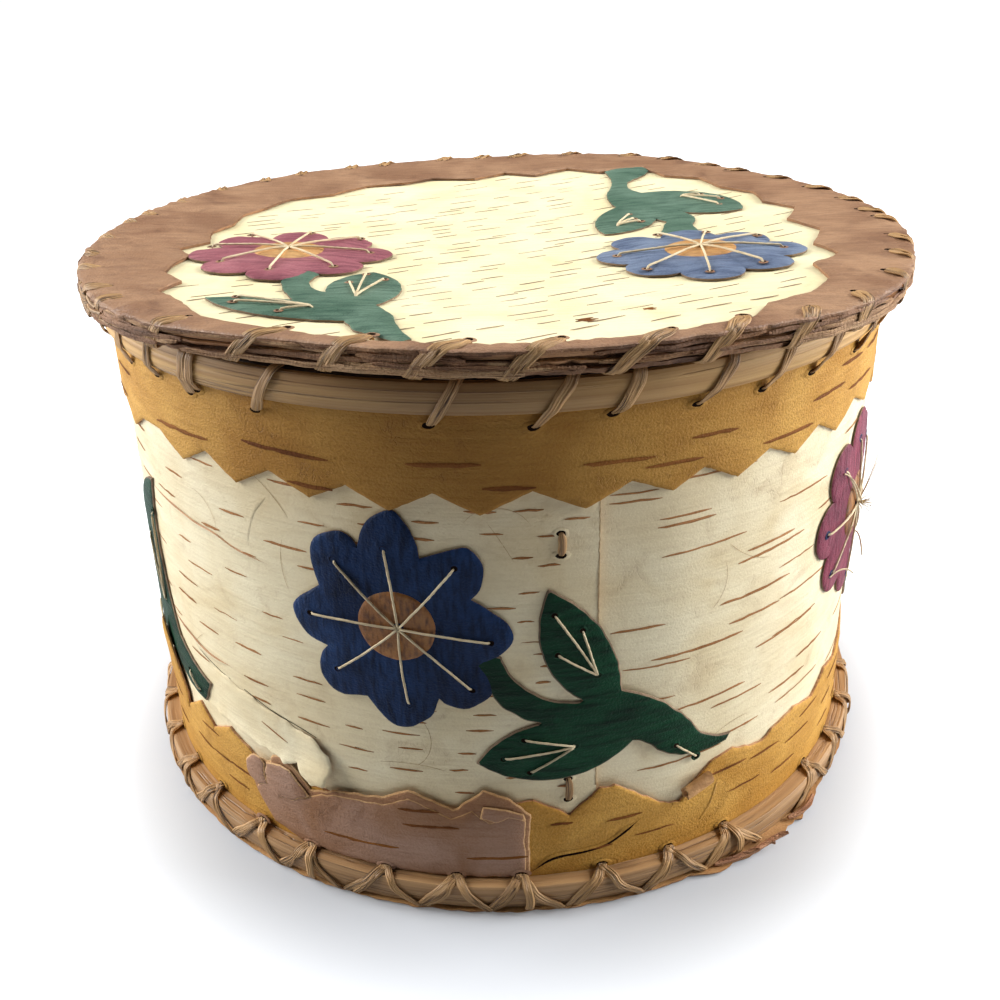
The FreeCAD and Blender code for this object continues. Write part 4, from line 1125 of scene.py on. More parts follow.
# %% [markdown]
# ## Hoops
#
# Each hoop is a splint bent round the box: a strip of split wood with a flat inside, rounded
# outside and edges that waver, because it was whittled. It is swept round the axis as one
# closed section. Its two ends are shaved thin and overlap at the back.

# %% Bent splints
SHAVED = 26.0  # how far a hoop's shaved ends overlap


def bent_splint(name, node, finish, slot, start, seed, crown=0.9, waver=0.25, stout=0.0):
    """Whittled hoop in the room of a frame's node; stout makes it thicker and sets it lower."""
    near, far, low, high = measured(node)
    far, low, high = far + stout, low - stout, high - stout
    section = 8
    outside, inside = [], []
    length = ROUND + SHAVED
    for step in range(int(length / 2.4) + 1):
        along = min(step * 2.4, length)
        thin = min(along, length - along) / SHAVED
        share = 0.12 + 0.88 * ease(thin)
        base = near if along < ROUND / 2 else near + (far - near) * (1 - share)
        tip = base + (far - near) * share
        turn = (start + along) / WALL
        lower = low + waver * abs(wander(along / 23, seed)) + 0.1
        upper = high - waver * abs(wander(along / 19, seed + 5)) - 0.1
        outer, inner = [], []
        for row in range(section + 1):
            rise = row / section
            bulge = 1 - abs(2 * rise - 1) ** 2.6
            reach = tip - crown * (1 - bulge) * share
            reach -= waver * 0.5 * (0.5 + 0.5 * wander(along / 14, rise * 2, seed + 9)) * share
            level = lower + (upper - lower) * rise
            outer.append(at_reach(turn, reach, level))
            inner.append(at_reach(turn, base, level))
        outside.append(outer)
        inside.append(inner)
    hoop = Bundle()
    sheet(hoop, outside, inside, closed=False, finishes=(0, 0, 0))
    make_piece(name, hoop, "box", [finish], slot, [node], sharp=50)


STOUT = 1.0  # mm by which the foot splint is stouter, and sits lower, than its node
bent_splint("rim_splint", "rim_outer_hoop", SPLINT, "splint_wood", 318, seed=1.0)
bent_splint("rim_inner_splint", "rim_inner_hoop", SPLINT, "splint_wood", 220, crown=0.4, seed=4.0)
bent_splint("foot_splint", "foot_hoop", FOOT_WOOD, "splint_wood", 390, crown=0.7, waver=0.7,
            seed=7.0, stout=STOUT)
bent_splint("rim_capping_reed", "rim_reed", REED, "dark_reed", 260, crown=1.0, waver=0.4,
            seed=11.0)

# %% [markdown]
# ## Root lacing
#
# Split root is flat below and rounded and ribbed above. A curve with a bevel would twist as it
# liked. So a strap is swept along a smooth line of points, and at each its flat side faces a core
# point inside whatever it wraps: it always lies down on the hoop. Its strip map runs with its
# length, which lets the fibres follow it.

# %% Straps of split root
def strap(bundle, line, cores, wide, thick, seed, finish=0):
    """Root of a width and thickness along a line, its flat side towards the cores."""
    sides = np.linspace(-1, 1, 9)
    line, cores = np.array(line), np.array(cores)
    ahead, run = headings(line), walked(line)
    out = line - cores
    out -= (out * ahead).sum(1)[:, None] * ahead
    out /= np.linalg.norm(out, axis=1)[:, None] + TINY
    side = np.cross(ahead, out)
    points, strip, ring = [], [], len(sides) + 2
    for spot, lift, across, length in zip(line, out, side, run):
        taper = 0.55 + 0.45 * ease(min(length, run[-1] - length) / 2.0)
        half = wide / 2 * taper * (1 + 0.14 * wander(length / 6, seed))
        for value in sides:
            rib = 1 + 0.16 * cos(3.6 * pi * value + seed + 0.25 * length)
            high = thick * (0.4 + 0.6 * sqrt(max(1 - value ** 4, 0))) * rib
            points.append(spot + across * value * half + lift * high)
            strip.append((length / 10 + seed * 3, value * half / 10 + seed))
        for value in (0.85, -0.85):
            points.append(spot + across * value * half - lift * 0.02)
            strip.append((length / 10 + seed * 3, value * half / 10 + seed))
    bundle.add(points, closed_tube(len(line) - 1, ring), finish, strip)


def laced(bundle, hole, profile, core, wide, thick, seed):
    """Strap along (sideways, reach, high) points beside an awl hole; core is (reach, high)."""
    line, cores = [], []
    for sideways, reach, high in smooth_line(profile):
        turn = (hole + sideways) / WALL
        line.append(at_reach(turn, reach, high))
        cores.append(at_reach(turn, *core))
    strap(bundle, line, cores, wide, thick, seed)


# %% [markdown]
# ### Awl holes
#
# Bark is pierced with an awl before root or thread goes through. The awl leaves a hole and pushes
# up a ragged lip. A real cut through each sheet would cost much and show no more than this small
# crater of rings: the outer two rows are lip, and the inner two are painted shade for the dark
# depth of the hole.

# %% Awl holes
def awl_hole(bundle, place, across, high, wide, tall, lip=1):
    """Small hole with a raised, slightly torn lip; its dark middle is painted shade."""
    rings = ((1.8, 0.0), (1.3, 0.20), (1.0, 0.16), (0.7, 0.05), (0.0, 0.03))
    points, corners = [], 10
    for share, up in rings:
        for step in range(corners):
            turn = tau * step / corners
            x, y = cos(turn), sin(turn)
            rag = 1 + 0.25 * wander(across + x, high + y, 2) * (share > 0)
            rag *= share
            points.append(place(across + rag * wide * x, high + rag * tall * y, up))
    start = bundle.add(points)
    bundle.cover(start, tube(2, corners), lip)
    bundle.cover(start + 2 * corners, tube(2, corners), 0)


# %% [markdown]
# ### Lacing of the rim
#
# Each strap comes out of an awl hole below the hoop, slants up over hoop and reed and goes down
# inside. Its places are measured from the hoops of the frame, so it lies close on them. The
# spacing is that of a hand, and one stitch left of the front has been lost.

# %% Lace the rim
def spaced(known, gap):
    """Known hole places, then even ones on the rest of the way round."""
    left = known[0] + ROUND - known[-1]
    count = round(left / gap)
    return known + [known[-1] + left * step / count for step in range(1, count)]


RIM_IN, RIM_OUT, RIM_LOW, RIM_HIGH = measured("rim_outer_hoop")
LINING_IN, LINING_OUT = measured("rim_inner_hoop")[:2]
REED_TOP = measured("rim_reed")[3]
RIM_HOLES = spaced([-109.6, -92.9, -78.6, -75.8, -56.8, -14.5, 8.2, 25.8, 46.2, 64.6, 82.1,
                    104.5], 19.4)
chance = random.Random(21)
lacing, holes = Bundle(), Bundle()
for index, hole in enumerate(RIM_HOLES):
    lean = tan(radians(12 if -120 < hole < -60 else 32 + chance.uniform(-5, 5)))
    drop = chance.uniform(138.2, 140.4)
    tall = RIM_HIGH - drop
    profile = [(-0.2, WALL + 0.3, drop), (0.3, WALL + 1.4, drop + 0.5),
               ((RIM_LOW - drop) * lean, RIM_OUT - 0.75, RIM_LOW - 0.1),
               ((RIM_LOW + 1.4 - drop) * lean, RIM_OUT + 0.05, RIM_LOW + 1.3),
               (tall * lean * 0.65, RIM_OUT + 0.12, RIM_LOW + 4.0),
               (tall * lean * 0.88, RIM_OUT, RIM_HIGH - 1.3),
               (tall * lean, RIM_OUT - 1.0, RIM_HIGH + 0.1),
               ((tall + 1.5) * lean, RIM_IN - 0.9, REED_TOP),
               ((tall + 2.5) * lean, LINING_OUT + 0.9, REED_TOP),
               ((tall + 3.5) * lean, LINING_IN + 0.8, RIM_HIGH + 0.15),
               ((tall + 3.5) * lean, LINING_IN - 0.15, RIM_HIGH - 1.2),
               ((tall + 3.0) * lean, LINING_IN - 0.15, RIM_LOW + 0.6),
               ((tall + 3.0) * lean, LINING_IN + 0.4, RIM_LOW - 0.5),
               ((tall + 2.6) * lean, LINING_OUT - 0.4, drop)]
    laced(lacing, hole, profile, ((RIM_OUT + LINING_IN) / 2, RIM_LOW + 3.5),
          chance.uniform(2.7, 3.4), 0.5, index * 0.7)
    awl_hole(holes, on_band, hole - 0.4, drop - 0.1, 1.5, 0.75)
make_piece("rim_root_lacing", lacing, "box", [ROOT], "split_root", ["rim_lacing"])

# %% [markdown]
# ### Lacing of the foot
#
# Three legs leave one hole, two to the left and one to the right, and meet the neighbours' legs
# at the disc. Beside every third hole a short strap goes straight down. Widths and leans vary
# by chance, because no two splits of a root are the same.

# %% Lace the foot
FOOT_IN, FOOT_OUT, FOOT_LOW, FOOT_HIGH = measured("foot_hoop")
FOOT_OUT, FOOT_LOW, FOOT_HIGH = FOOT_OUT + STOUT, FOOT_LOW - STOUT, FOOT_HIGH - STOUT
FOOT_HOLES = spaced([-112, -95, -73.7, -56, -33.1, -13.8, 3.0, 24.8, 44.2, 62.5, 100.8], 18.6)
lacing = Bundle()
count = len(FOOT_HOLES)
for index, hole in enumerate(FOOT_HOLES):
    drop = FOOT_HIGH + chance.uniform(0.2, 0.9)
    before = (hole - FOOT_HOLES[index - 1]) % ROUND
    after = (FOOT_HOLES[(index + 1) % count] - hole) % ROUND
    for side, wide, span, shift in ((-1, 2.4, before, -0.8), (-1, 2.0, before, 1.2),
                                    (1, 2.3, after, 0.0)):
        lift = 0.0 if side < 0 else 0.3
        reach = side * min(span / 2, 10.5) * chance.uniform(0.92, 1.08)
        sway = chance.uniform(-0.08, 0.08)
        fan = shift * chance.uniform(0.7, 1.3)
        profile = [(-0.06 * reach, WALL + 0.6, drop - 0.6),
                   (-0.02 * reach + 0.3 * shift, WALL + 1.7 + lift, drop + 0.5),
                   (0.08 * reach + 0.4 * shift, FOOT_OUT - 3.2 + lift, FOOT_HIGH + 0.4),
                   (0.22 * reach + 0.5 * shift, FOOT_OUT - 1.0 + lift, FOOT_HIGH - 0.2),
                   ((0.40 + sway) * reach + 0.7 * shift, FOOT_OUT - 0.2 + lift, FOOT_HIGH - 2.2),
                   ((0.62 + sway) * reach + fan, FOOT_OUT + lift, FOOT_HIGH - 4.2),
                   (0.84 * reach + fan, FOOT_OUT - 0.1 + lift, FOOT_LOW + 1.4),
                   (0.97 * reach + fan, FOOT_OUT - 0.6 + lift, FOOT_LOW - 0.1),
                   (1.02 * reach + fan, FOOT_OUT - 1.8, 0.35)]
        laced(lacing, hole, profile, (FOOT_IN, FOOT_HIGH - 4.5), wide * chance.uniform(0.85, 1.15),
              0.5, index * 0.9 + side + shift)
    if index % 3 == 0:
        wrap = [(0.8, WALL + 1.6, drop + 0.4), (1.6, FOOT_OUT - 0.2, FOOT_HIGH - 0.1),
                (2.2, FOOT_OUT + 0.7, FOOT_HIGH - 3.0), (2.0, FOOT_OUT + 0.5, FOOT_LOW + 1.5),
                (1.4, FOOT_OUT - 1.2, 0.4)]
        laced(lacing, hole, wrap, (FOOT_IN, FOOT_HIGH - 4.5), 2.4, 0.5, index * 1.7)
    base, lip = (2.2, 5) if -77 < hole < 5.5 else (1.2, 1)  # through the patch, or the band
    awl_hole(holes, raised(around, base), hole, drop + 0.6, 1.6, 0.9, lip=lip)
make_piece("foot_root_lacing", lacing, "box", [ROOT], "split_root", ["foot_lacing"])

# %% [markdown]
# ### Stitches beside the seam
#
# Two short upright roots hold the lap of the wall, one high and one low. Both ends of each dip
# into a hole, so it needs no knot.

# %% Stitch the seam
lacing = Bundle()
for across, low, high, base in ((14.0, 105.6, 111.4, 0.0), (15.8, 32.8, 39.6, 0.2)):
    rise = high - low
    profile = [(0.0, WALL + base - 0.4, low), (0.1, WALL + base + 0.25, low + 0.5),
               (0.3, WALL + base * 0.8 + 0.35, low + rise / 2),
               (0.1, WALL + base * 0.3 + 0.25, high - 0.5), (0.0, WALL - 0.4, high)]
    laced(lacing, across, profile, (0.0, low), 2.0, 0.4, across)
    for end, wide in ((low, 1.3), (high, 1.2)):
        awl_hole(holes, raised(around, 0.12), across, end, wide, 0.8, lip=4)
make_piece("seam_stitches", lacing, "box", [ROOT], "split_root", ["seam_lacing"])

# %% [markdown]
# ## Thread
#
# The sewing thread is two strands twisted together. A tube whose section is an oval that turns
# as it goes looks just so, with half the points of two real strands. Each thread rises from its
# hole, crosses the petal with a little slack and ends in the hole at the flower's middle.

# %% Twisted thread
def twine(bundle, line, thick=0.66, seed=0.0):
    """Two-ply thread along a line of points."""
    line = np.array(line)
    ahead = headings(line)
    side = np.cross(ahead, np.array([0.31, 0.17, 0.93]))
    side /= np.linalg.norm(side, axis=1)[:, None] + TINY
    up = np.cross(side, ahead)
    points, strip, ring = [], [], 8
    for spot, a, b, length in zip(line, side, up, walked(line)):
        twist = tau * length / 2.6 + seed
        for step in range(ring):
            turn = tau * step / ring
            reach = thick / 2 * (0.74 + 0.26 * abs(cos(turn - twist)))
            points.append(spot + reach * (a * cos(turn) + b * sin(turn)))
            strip.append((length / 10 + seed, turn * thick / 20))
    bundle.add(points, closed_tube(len(line) - 1, ring), 0, strip)


def sew(bundle, place, start, end, low, high, slack=0.25, seed=0.0):
    """Thread from a hole at start (lift low) to end (lift high), with some slack between."""
    span = dist(start, end)
    steps = max(5, int(span / 0.8))
    bow = 0.035 * span * wander(seed, 3.3)
    nx, ny = -(end[1] - start[1]) / span, (end[0] - start[0]) / span
    line = []
    for step in range(steps + 1):
        share = step / steps
        off = bow * sin(pi * share) + 0.08 * wander(share * 6, seed)
        lift = low + (high - low) * ease(share * 1.15) + slack * sin(pi * share) ** 0.5
        lift -= 0.9 * (1 - ease(share * span / 1.0)) + 0.5 * (1 - ease((1 - share) * span / 0.8))
        line.append(place(start[0] + (end[0] - start[0]) * share + nx * off,
                          start[1] + (end[1] - start[1]) * share + ny * off, lift))
    twine(bundle, line, seed=seed)


# %% [markdown]
# ### Sewing the wall's motifs
#
# One thread holds each petal, from an outer hole to the flower's middle. Short threads hold each
# leaf and meet in one hole. The awl went by eye, so the petals' holes lie a little differently
# on every flower.

# %% Sew the wall's motifs
PETAL_HOLES = [(-1.8, 21.6), (-15.5, 16), (-22.9, 0.4), (-16.9, -15.7), (1.6, -23.3),
               (16.7, -16.8), (21.7, -3.5), (14.1, 16.1)]
threads = Bundle()
chance = random.Random(31)
for colour, turn, spray_turn, spray, veins in WALL_MOTIFS:
    middle = (-0.1, FLOWER_HIGH - 0.1)
    over, leaf = at_turn(turn, 0.0), at_turn(spray_turn, 0.0)
    for index, (x, y) in enumerate(PETAL_HOLES):
        start = (x + chance.uniform(-0.8, 0.8), y + FLOWER_HIGH + chance.uniform(-0.8, 0.8))
        awl_hole(holes, raised(over, 1.22), *start, 0.85, 0.75, lip=2)
        sew(threads, over, start, middle, 1.6, 2.2, seed=index * 1.7 + turn)
    awl_hole(holes, raised(over, 1.82), *middle, 0.8, 0.8, lip=2)
    for vein in veins:
        for index, hole in enumerate(vein[1:]):
            awl_hole(holes, raised(leaf, 0.95), *hole, 0.75, 0.75, lip=3)
            sew(threads, leaf, hole, vein[0], 1.3, 1.3, slack=0.15, seed=index + turn)
        awl_hole(holes, raised(leaf, 0.95), *vein[0], 0.85, 0.75, lip=3)
make_piece("wall_threads", threads, "box", [THREAD])
make_piece("wall_awl_holes", holes, "box", [HOLE_SHADE, GOLDEN, NAVY, LEAF, WHITE, MAUVE])

# %% [markdown]
# ### A frayed thread
#
# On the flower at the right the thread has worn through at the centre and stands out as a tuft
# of fibres. Each fibre is a thin curved hair.

# %% Tuft of fibres
tuft = Bundle()
chance = random.Random(41)
over = at_turn(63.7, 0.0)
for index in range(30):
    swing, rise = chance.uniform(-3, 3), chance.uniform(-3, 2.5)
    reach = chance.uniform(2.0, 5.0)
    if index < 3:
        swing, rise, reach = 2 + index, 12 + 1.5 * index, 4.0
    line = [over(0.6 + swing * s ** 1.5, FLOWER_HIGH + rise * s ** 1.5, 1.8 + reach * s)
            for s in np.linspace(0, 1, 7)]
    twine(tuft, line, 0.2, index)
for x, y in ((-17, 16), (-19, -15), (15, -17)):
    line = [over(x * (1 - 0.6 * s), FLOWER_HIGH + y * (1 - 0.3 * s) - 8 * s * s, 1.6 + 3.2 * s)
            for s in np.linspace(0, 1, 9)]
    twine(tuft, line, 0.5, x)
make_piece("frayed_thread", tuft, "box", [THREAD])

# %% [markdown]
# ## The bottom disc
#
# The box stands on a disc of bark that the foot hoop hides. At the right of the front its edge is
# torn and sticks out, with a few broken strips. It is a round grid whose edge rows are pushed
# about by noise.

# %% Ragged round plies
def round_ply(bundle, reach_at, low_at, high_at, rag=0.6, turns=300, seed=0.0,
              finishes=(0, 1, 2)):
    """Ply filled from the axis to a ragged edge; heights are functions of (x, y, edge share)."""
    shares = (0.0, 0.15, 0.3, 0.45, 0.6, 0.72, 0.82, 0.9, 0.95, 0.98, 1.0)
    outside, inside = [], []
    for step in range(turns):
        turn = tau * step / turns
        full = reach_at(turn) + rag * wander(turn * 24, seed) + rag * 0.5 * wander(turn * 70, seed)
        upper, lower = [], []
        for share in shares:
            reach = full * share + 0.01
            x, y = reach * sin(turn), -reach * cos(turn)
            upper.append((x, y, high_at(x, y, share)))
            lower.append((x * (1 - 0.003 * share), y * (1 - 0.003 * share), low_at(x, y, share)))
        outside.append(upper)
        inside.append(lower)
    sheet(bundle, outside, inside, closed=True, finishes=finishes)


DISC_OUT, DISC_LOW = measured("bottom_disc")[1:3]


def torn_reach(turn):
    """The disc ends under the splint, but its torn edge sticks out at the right of the front."""
    torn = ease((turn - 0.44) / 0.06) * ease((0.92 - turn) / 0.08)
    return DISC_OUT - 1.5 + torn * (2.4 + 1.6 * wander(turn * 26, 5) + 0.8 * wander(turn * 70, 1))


disc = Bundle()
round_ply(disc, torn_reach,
          lambda x, y, share: DISC_LOW + 0.25 * share ** 8 * (1 + wander(x / 5, y / 5)),
          lambda x, y, share: DISC_LOW + 1.25 - share ** 10 * 0.35 * (1 + wander(x / 4, y / 4, 2)),
          rag=0.7, turns=420)
# Broken strips of the disc's edge: turn in degrees, reach, height of each point; then the width.
TORN_STRIPS = (
    ([(29, 117.4, 1.4), (31, 118.4, 1.7), (33, 119.2, 1.8), (36, 120, 2), (38.6, 120.4, 2.3),
      (39.8, 121.2, 2.8), (40.6, 122.4, 3.4)], 1.6),
    ([(33.4, 119, 2.2), (34.6, 120.2, 2.6), (35.4, 121.2, 2.8)], 1.1),
    ([(36.8, 119.6, 2), (37.8, 120.8, 2.2), (38.2, 121.9, 2)], 0.9),
    ([(43.6, 117.8, 1.8), (45.4, 119, 2), (47.6, 119.4, 2.2), (50, 118.2, 1.9)], 1.5),
)
for points, wide in TORN_STRIPS:
    line = [at_reach(radians(turn), reach, high) for turn, reach, high in smooth_line(points, 6)]
    strap(disc, line, [(0.97 * x, 0.97 * y, high - 6) for x, y, high in line], wide, 0.9, wide, 2)
BASE_EDGE = bark("torn_base_edge", (216, 164, 122), (180, 128, 90), (116, 74, 50), stained=0.8,
                 streaks=0.7, grain=0.6, run=(0.8, 26.0, 4.0), relief=0.6, roughness=0.75)
make_piece("base_disc", disc, "box", [INSIDE, ROUGH_PLY, BASE_EDGE], "brown_bark",
           ["bottom_disc"])

# %% [markdown]
# ## The lid
#
# The lid is three plies: a rough brown one below, a white one, and on top a brown ring with teeth
# cut along its inner edge. Its outline was cut by hand and is not quite round. The top slopes up
# a little towards the front, where the plies gape. Every ply follows the same outline, which is
# an even curve through 16 reaches from the middle.

# %% Shape of the lid
LID_EDGE = (0, 1, 5, 0, -2.5, -3, -1.5, 6, -1, -3, -2.5, -3.5, -3, -0.5, 2.5, -2.5)
LID_REACH, LID_BARK, LID_SLOPE = 119.0, 1.4, tan(radians(0.68))
LID_TOP = measured("lid_disc")[3] - LID_REACH * LID_SLOPE
LID_UNDER = measured("lid_under_ply")[2]
print("white ply tops out at %.1f mm over the axis; the lid's underside is at %.1f mm"
      % (LID_TOP, LID_UNDER))


def lid_reach(turn):
    """Reach of the lid's edge at a turn from the front towards the right."""
    count = len(LID_EDGE)
    index, t = divmod(turn / tau * count, 1)
    four = [LID_EDGE[(int(index) + step) % count] for step in (-1, 0, 1, 2)]
    return LID_REACH + spline(*four, t)


def sag(x, y):
    """How deep the old plies hang inside the ring that they rest on."""
    return 2.6 * max(0.0, 1 - (x * x + y * y) / 102 ** 2)


def lid_swell(x, y):
    return 0.30 * wander(x / 30, y / 30, 6) + 0.08 * wander(x / 8, y / 8, 2) - sag(x, y)


def on_lid(x, y, lift=0.0):
    """Point on the white ply's upper side."""
    return (x, y, LID_TOP - LID_SLOPE * y + lid_swell(x, y) + lift)


# %% [markdown]
# ### The rough plies below
#
# The lowest ply is old, brown and frayed, and a backing lies on it. A third, thin one gapes
# below the white ply. Separate sheets with air between them show true dark lines at the edge,
# which a striped edge on one thick disc would not.

# %% Lower plies
under = Bundle()
round_ply(under, lambda turn: lid_reach(turn) - 1.0,
          lambda x, y, share: LID_UNDER - sag(x, y) + 0.2 * share ** 9
          * (1 + wander(x / 6, y / 6)),
          lambda x, y, share: LID_UNDER - sag(x, y) + 1.2
          + 0.3 * share ** 9 * wander(x / 5, y / 5, 3),
          rag=1.5, turns=420, seed=3.0)
round_ply(under, lambda turn: lid_reach(turn) - 2.4,
          lambda x, y, share: LID_UNDER - sag(x, y) + 1.1,
          lambda x, y, share: max(on_lid(x, y)[2] - LID_BARK - 0.3, LID_UNDER - sag(x, y) + 1.25),
          rag=0.8, seed=5.0)


def loose_ply(x, y, share):
    """Height of a thin ply that gapes between the rough one and the white one."""
    low = LID_UNDER - sag(x, y) + 1.25
    room = max(on_lid(x, y)[2] - LID_BARK - low, 0.1)
    return low + room * (0.45 + 0.35 * wander(atan2(x, y) * 7, 2.0))


round_ply(under, lambda turn: lid_reach(turn) - 1.1, loose_ply,
          lambda x, y, share: loose_ply(x, y, share) + 0.7, rag=1.4, turns=420, seed=9.0,
          finishes=(3, 3, 3))
make_piece("lid_rough_ply", under, "lid", [ROUGH_PLY, ROUGH_PLY, ROUGH_PLY, CUT_EDGE],
           "brown_bark", ["lid_under_ply"])

# %% [markdown]
# ### The white ply
#
# The flowers are sewn to this clean sheet. It is a round sheet again, cut more evenly than the
# rough ones, and follows the slope, the swell and the sag of the lid's top.

# %% White ply
white = Bundle()
round_ply(white, lambda turn: lid_reach(turn) - 0.9,
          lambda x, y, share: on_lid(x, y)[2] - LID_BARK,
          lambda x, y, share: on_lid(x, y)[2], rag=0.35, seed=7.0)
make_piece("lid_white_ply", white, "lid", [LID_WHITE, LID_WHITE, CUT_EDGE], "white_bark",
           ["lid_disc"])

# %% [markdown]
# ### The brown ring
#
# The ring is one brown sheet. Its opening has pointed teeth, isn't round and lies off the axis.
# So the ring is drawn as spokes from a hub inside the opening, each from the toothed edge out to
# the lid's outline. Cutting a hole in a disc would leave long thin triangles at every tooth. At
# the left the ring is crumpled.

# %% Brown ring
OPENING = [(-86.2, -47.2), (-84.1, -27.3), (-89.2, -19.5), (-82.4, -10.5), (-84.5, 2), (-80, 11.5),
           (-79.5, 25), (-73.5, 36), (-68.4, 48.3), (-55, 56.7), (-45.1, 69), (-32, 72.2),
           (-22.2, 79.4), (-7, 78), (4, 86), (15, 80.8), (27, 90.1), (38.4, 82), (54, 86),
           (60.2, 71.8), (71.2, 65), (76, 49), (85, 38.8), (85, 24.9), (92.8, 14.5), (86.9, -0.7),
           (93.2, -14.2), (86.9, -31.5), (90.1, -45.2), (80.6, -56.4), (81.6, -68.7), (74, -81.2),
           (62.1, -89.2), (56.5, -100.5), (48.2, -104.3), (35.5, -108.8), (17, -113.6),
           (0, -114.9), (-17.6, -112.6), (-30, -108.6), (-42.6, -102.6), (-55.2, -96.3),
           (-66.9, -88.6), (-74.5, -76), (-83, -66), (-79.5, -56)]
HUB = (2.0, -17.0)


def turn_from_hub(x, y):
    """Turn of a place as seen from the hub, from +x, anticlockwise."""
    return atan2(y - HUB[1], x - HUB[0]) % tau


TOOTH_TURNS, TOOTH_REACHES = zip(*sorted((turn_from_hub(x, y), dist((x, y), HUB))
                                         for x, y in OPENING))


def opening_reach(turn):
    """Reach of the toothed opening from its hub at a turn."""
    return float(np.interp(turn % tau, TOOTH_TURNS, TOOTH_REACHES, period=tau))


def edge_from_hub(turn):
    """Reach of the lid's outline from the hub."""
    reach = 110.0
    for _ in range(12):
        x, y = HUB[0] + reach * cos(turn), HUB[1] + reach * sin(turn)
        reach += lid_reach(atan2(x, -y) % tau) - hypot(x, y)
    return reach


outside, inside = [], []
for turn in sorted({*TOOTH_TURNS, *np.linspace(0, tau, 420, endpoint=False)}):
    near = opening_reach(turn) + 0.3 * wander(turn * 40)
    far = edge_from_hub(turn) + 0.8 * wander(turn * 22, 4) + 0.5 * wander(turn * 80, 6)
    upper, lower = [], []
    for share in (0.0, 0.02, 0.06, 0.15, 0.3, 0.5, 0.7, 0.85, 0.93, 0.97, 1.0):
        reach = near + (far - near) * share
        x, y = HUB[0] + reach * cos(turn), HUB[1] + reach * sin(turn)
        from_tooth, from_rim = reach - near, far - reach
        curl = 0.45 * max(0.0, wander(turn * 9, 2)) * (1 - ease(from_tooth / 6))
        lift = 0.12 + curl + 0.22 * wander(x / 11, y / 11, 7)
        lift -= 0.5 * (1 - ease(from_rim / 3))
        lift += 0.55 * wander(turn * 30, from_rim / 3, 1) * (1 - ease((from_rim - 2) / 9))
        crumpled = ease((-x - 62) / 30) * (1 - ease((from_rim - 12) / 12))
        lift += 1.3 * crumpled * abs(wander(turn * 24, from_rim / 11, 3))
        rounding = 0.4 * (1 - min(min(from_tooth, from_rim) / 0.8, 1)) ** 2
        upper.append(on_lid(x, y, 1.15 + max(lift, -0.1) - rounding))
        lower.append(on_lid(x, y, max(lift, 0.02)))
    outside.append(upper)
    inside.append(lower)
ring = Bundle()
sheet(ring, outside, inside, closed=True)
make_piece("lid_brown_ring", ring, "lid", [BROWN, BROWN, ROUGH_PLY], "brown_bark", ["lid_ring"])

# %% [markdown]
# ### Lenticels of the lid
#
# The white ply shows its lenticels as fine pale dashes that all run one way, across the lid. Two
# small knots lie near the front edge. A knot is a few short dashes that cross.

# %% Lenticels of the lid
LEAN = tan(radians(27))
chance = random.Random(61)
scars = Bundle()
for x, y, long in scatter(chance, 2600, ((-92, 92), (-112, 80)), lambda across: 7.5,
                          lambda across: 4.2):
    if dist((x, y), HUB) < opening_reach(turn_from_hub(x, y)) - long * 0.4:
        dash(scars, on_lid, x, y, long, chance.uniform(0.4, 0.6), LEAN)
KNOTS = ((20.6, -95.4, 1.0), (35.6, -87.6, 0.6))  # small knots: their place and size
for x, y, size in KNOTS:
    for turn in (-1.3, -0.5, 0.2, 0.9, 1.6):
        dash(scars, on_lid, x + 0.9 * size * cos(2 * turn), y + 1.1 * size * sin(2 * turn),
             3.6 * size, size, 0.5 * turn, 1)
make_piece("lid_lenticels", scars, "lid", [LID_SCAR, BAND_SCAR])

# %% [markdown]
# ### Flowers and leaves of the lid
#
# The lid carries a red and a blue flower, each with a spray, sewn on like those of the wall. These
# petals are pillowed: they swell freely and every stitch pulls them down.

# %% Cut and sew the lid's motifs
RED_LID_SPRAY = [
    (-58, -42), (-55.3, -49.1), ((-52.9, -62.1), (-47.9, -74.6)), ((-59.5, -71.6), (-70.2, -71.9)),
    (-68.2, -75), ((-56, -86.2), (-34, -93.4)), (-30.9, -100.8), (-20.9, -111), (-17.7, -108.8),
    ((-21.4, -98.5), (-23, -89.6)), (-28.1, -79.1), ((-23.2, -63), (-31.5, -46)),
    ((-39.3, -52), (-41.4, -66.5)), ((-46.6, -59), (-45.8, -48.2)), (-48, -42),
]
BLUE_LID_SPRAY = [
    (38, 90), ((41.2, 73), (38.3, 50.9)), ((37.6, 40), (39.2, 28.9)), ((31.2, 12), (32.5, -6.5)),
    ((43, -1), (49.6, 10.5)), (52.1, 6.1), (48, -10), (60, -10), (59.2, 1.4),
    ((60.9, 11), (57.4, 19.3)), ((65.5, 14.6), (77.2, 16.5)), ((76.5, 32), (62.3, 47.4)),
    ((55.5, 48.6), (49.9, 47.4)), ((45.8, 57.5), (50.6, 70.9)), ((55.4, 80.5), (56, 90)),
]
RED_VEINS = [((-42.2, -84.1), (-62.1, -73.4), (-62, -78.4), (-49.7, -87)),
             ((-33.4, -73.2), (-36.6, -58.9), (-33.1, -50.7), (-27.9, -56.5))]
BLUE_VEINS = [((36.7, 1), (42, 15.7), (42.8, 9.6), (44.5, 5.9)),
              ((60.8, 36.8), (70.8, 21.7), (72.8, 30.2), (67.5, 37.5))]
RED_HOLES = [(-38.8, -9.2), (-34.6, -26.6), (-42.7, -42.2), (-58.9, -46.4), (-73.5, -37.6),
             (-79.8, -19.9), (-71.2, -5.3), (-54.3, -2.1)]
BLUE_HOLES = [(46.7, -14.4), (60.8, -14.2), (73.8, -22), (77.5, -37.7), (68.7, -53.7),
              (54.1, -59.6), (38.9, -53.6), (33, -37.7)]
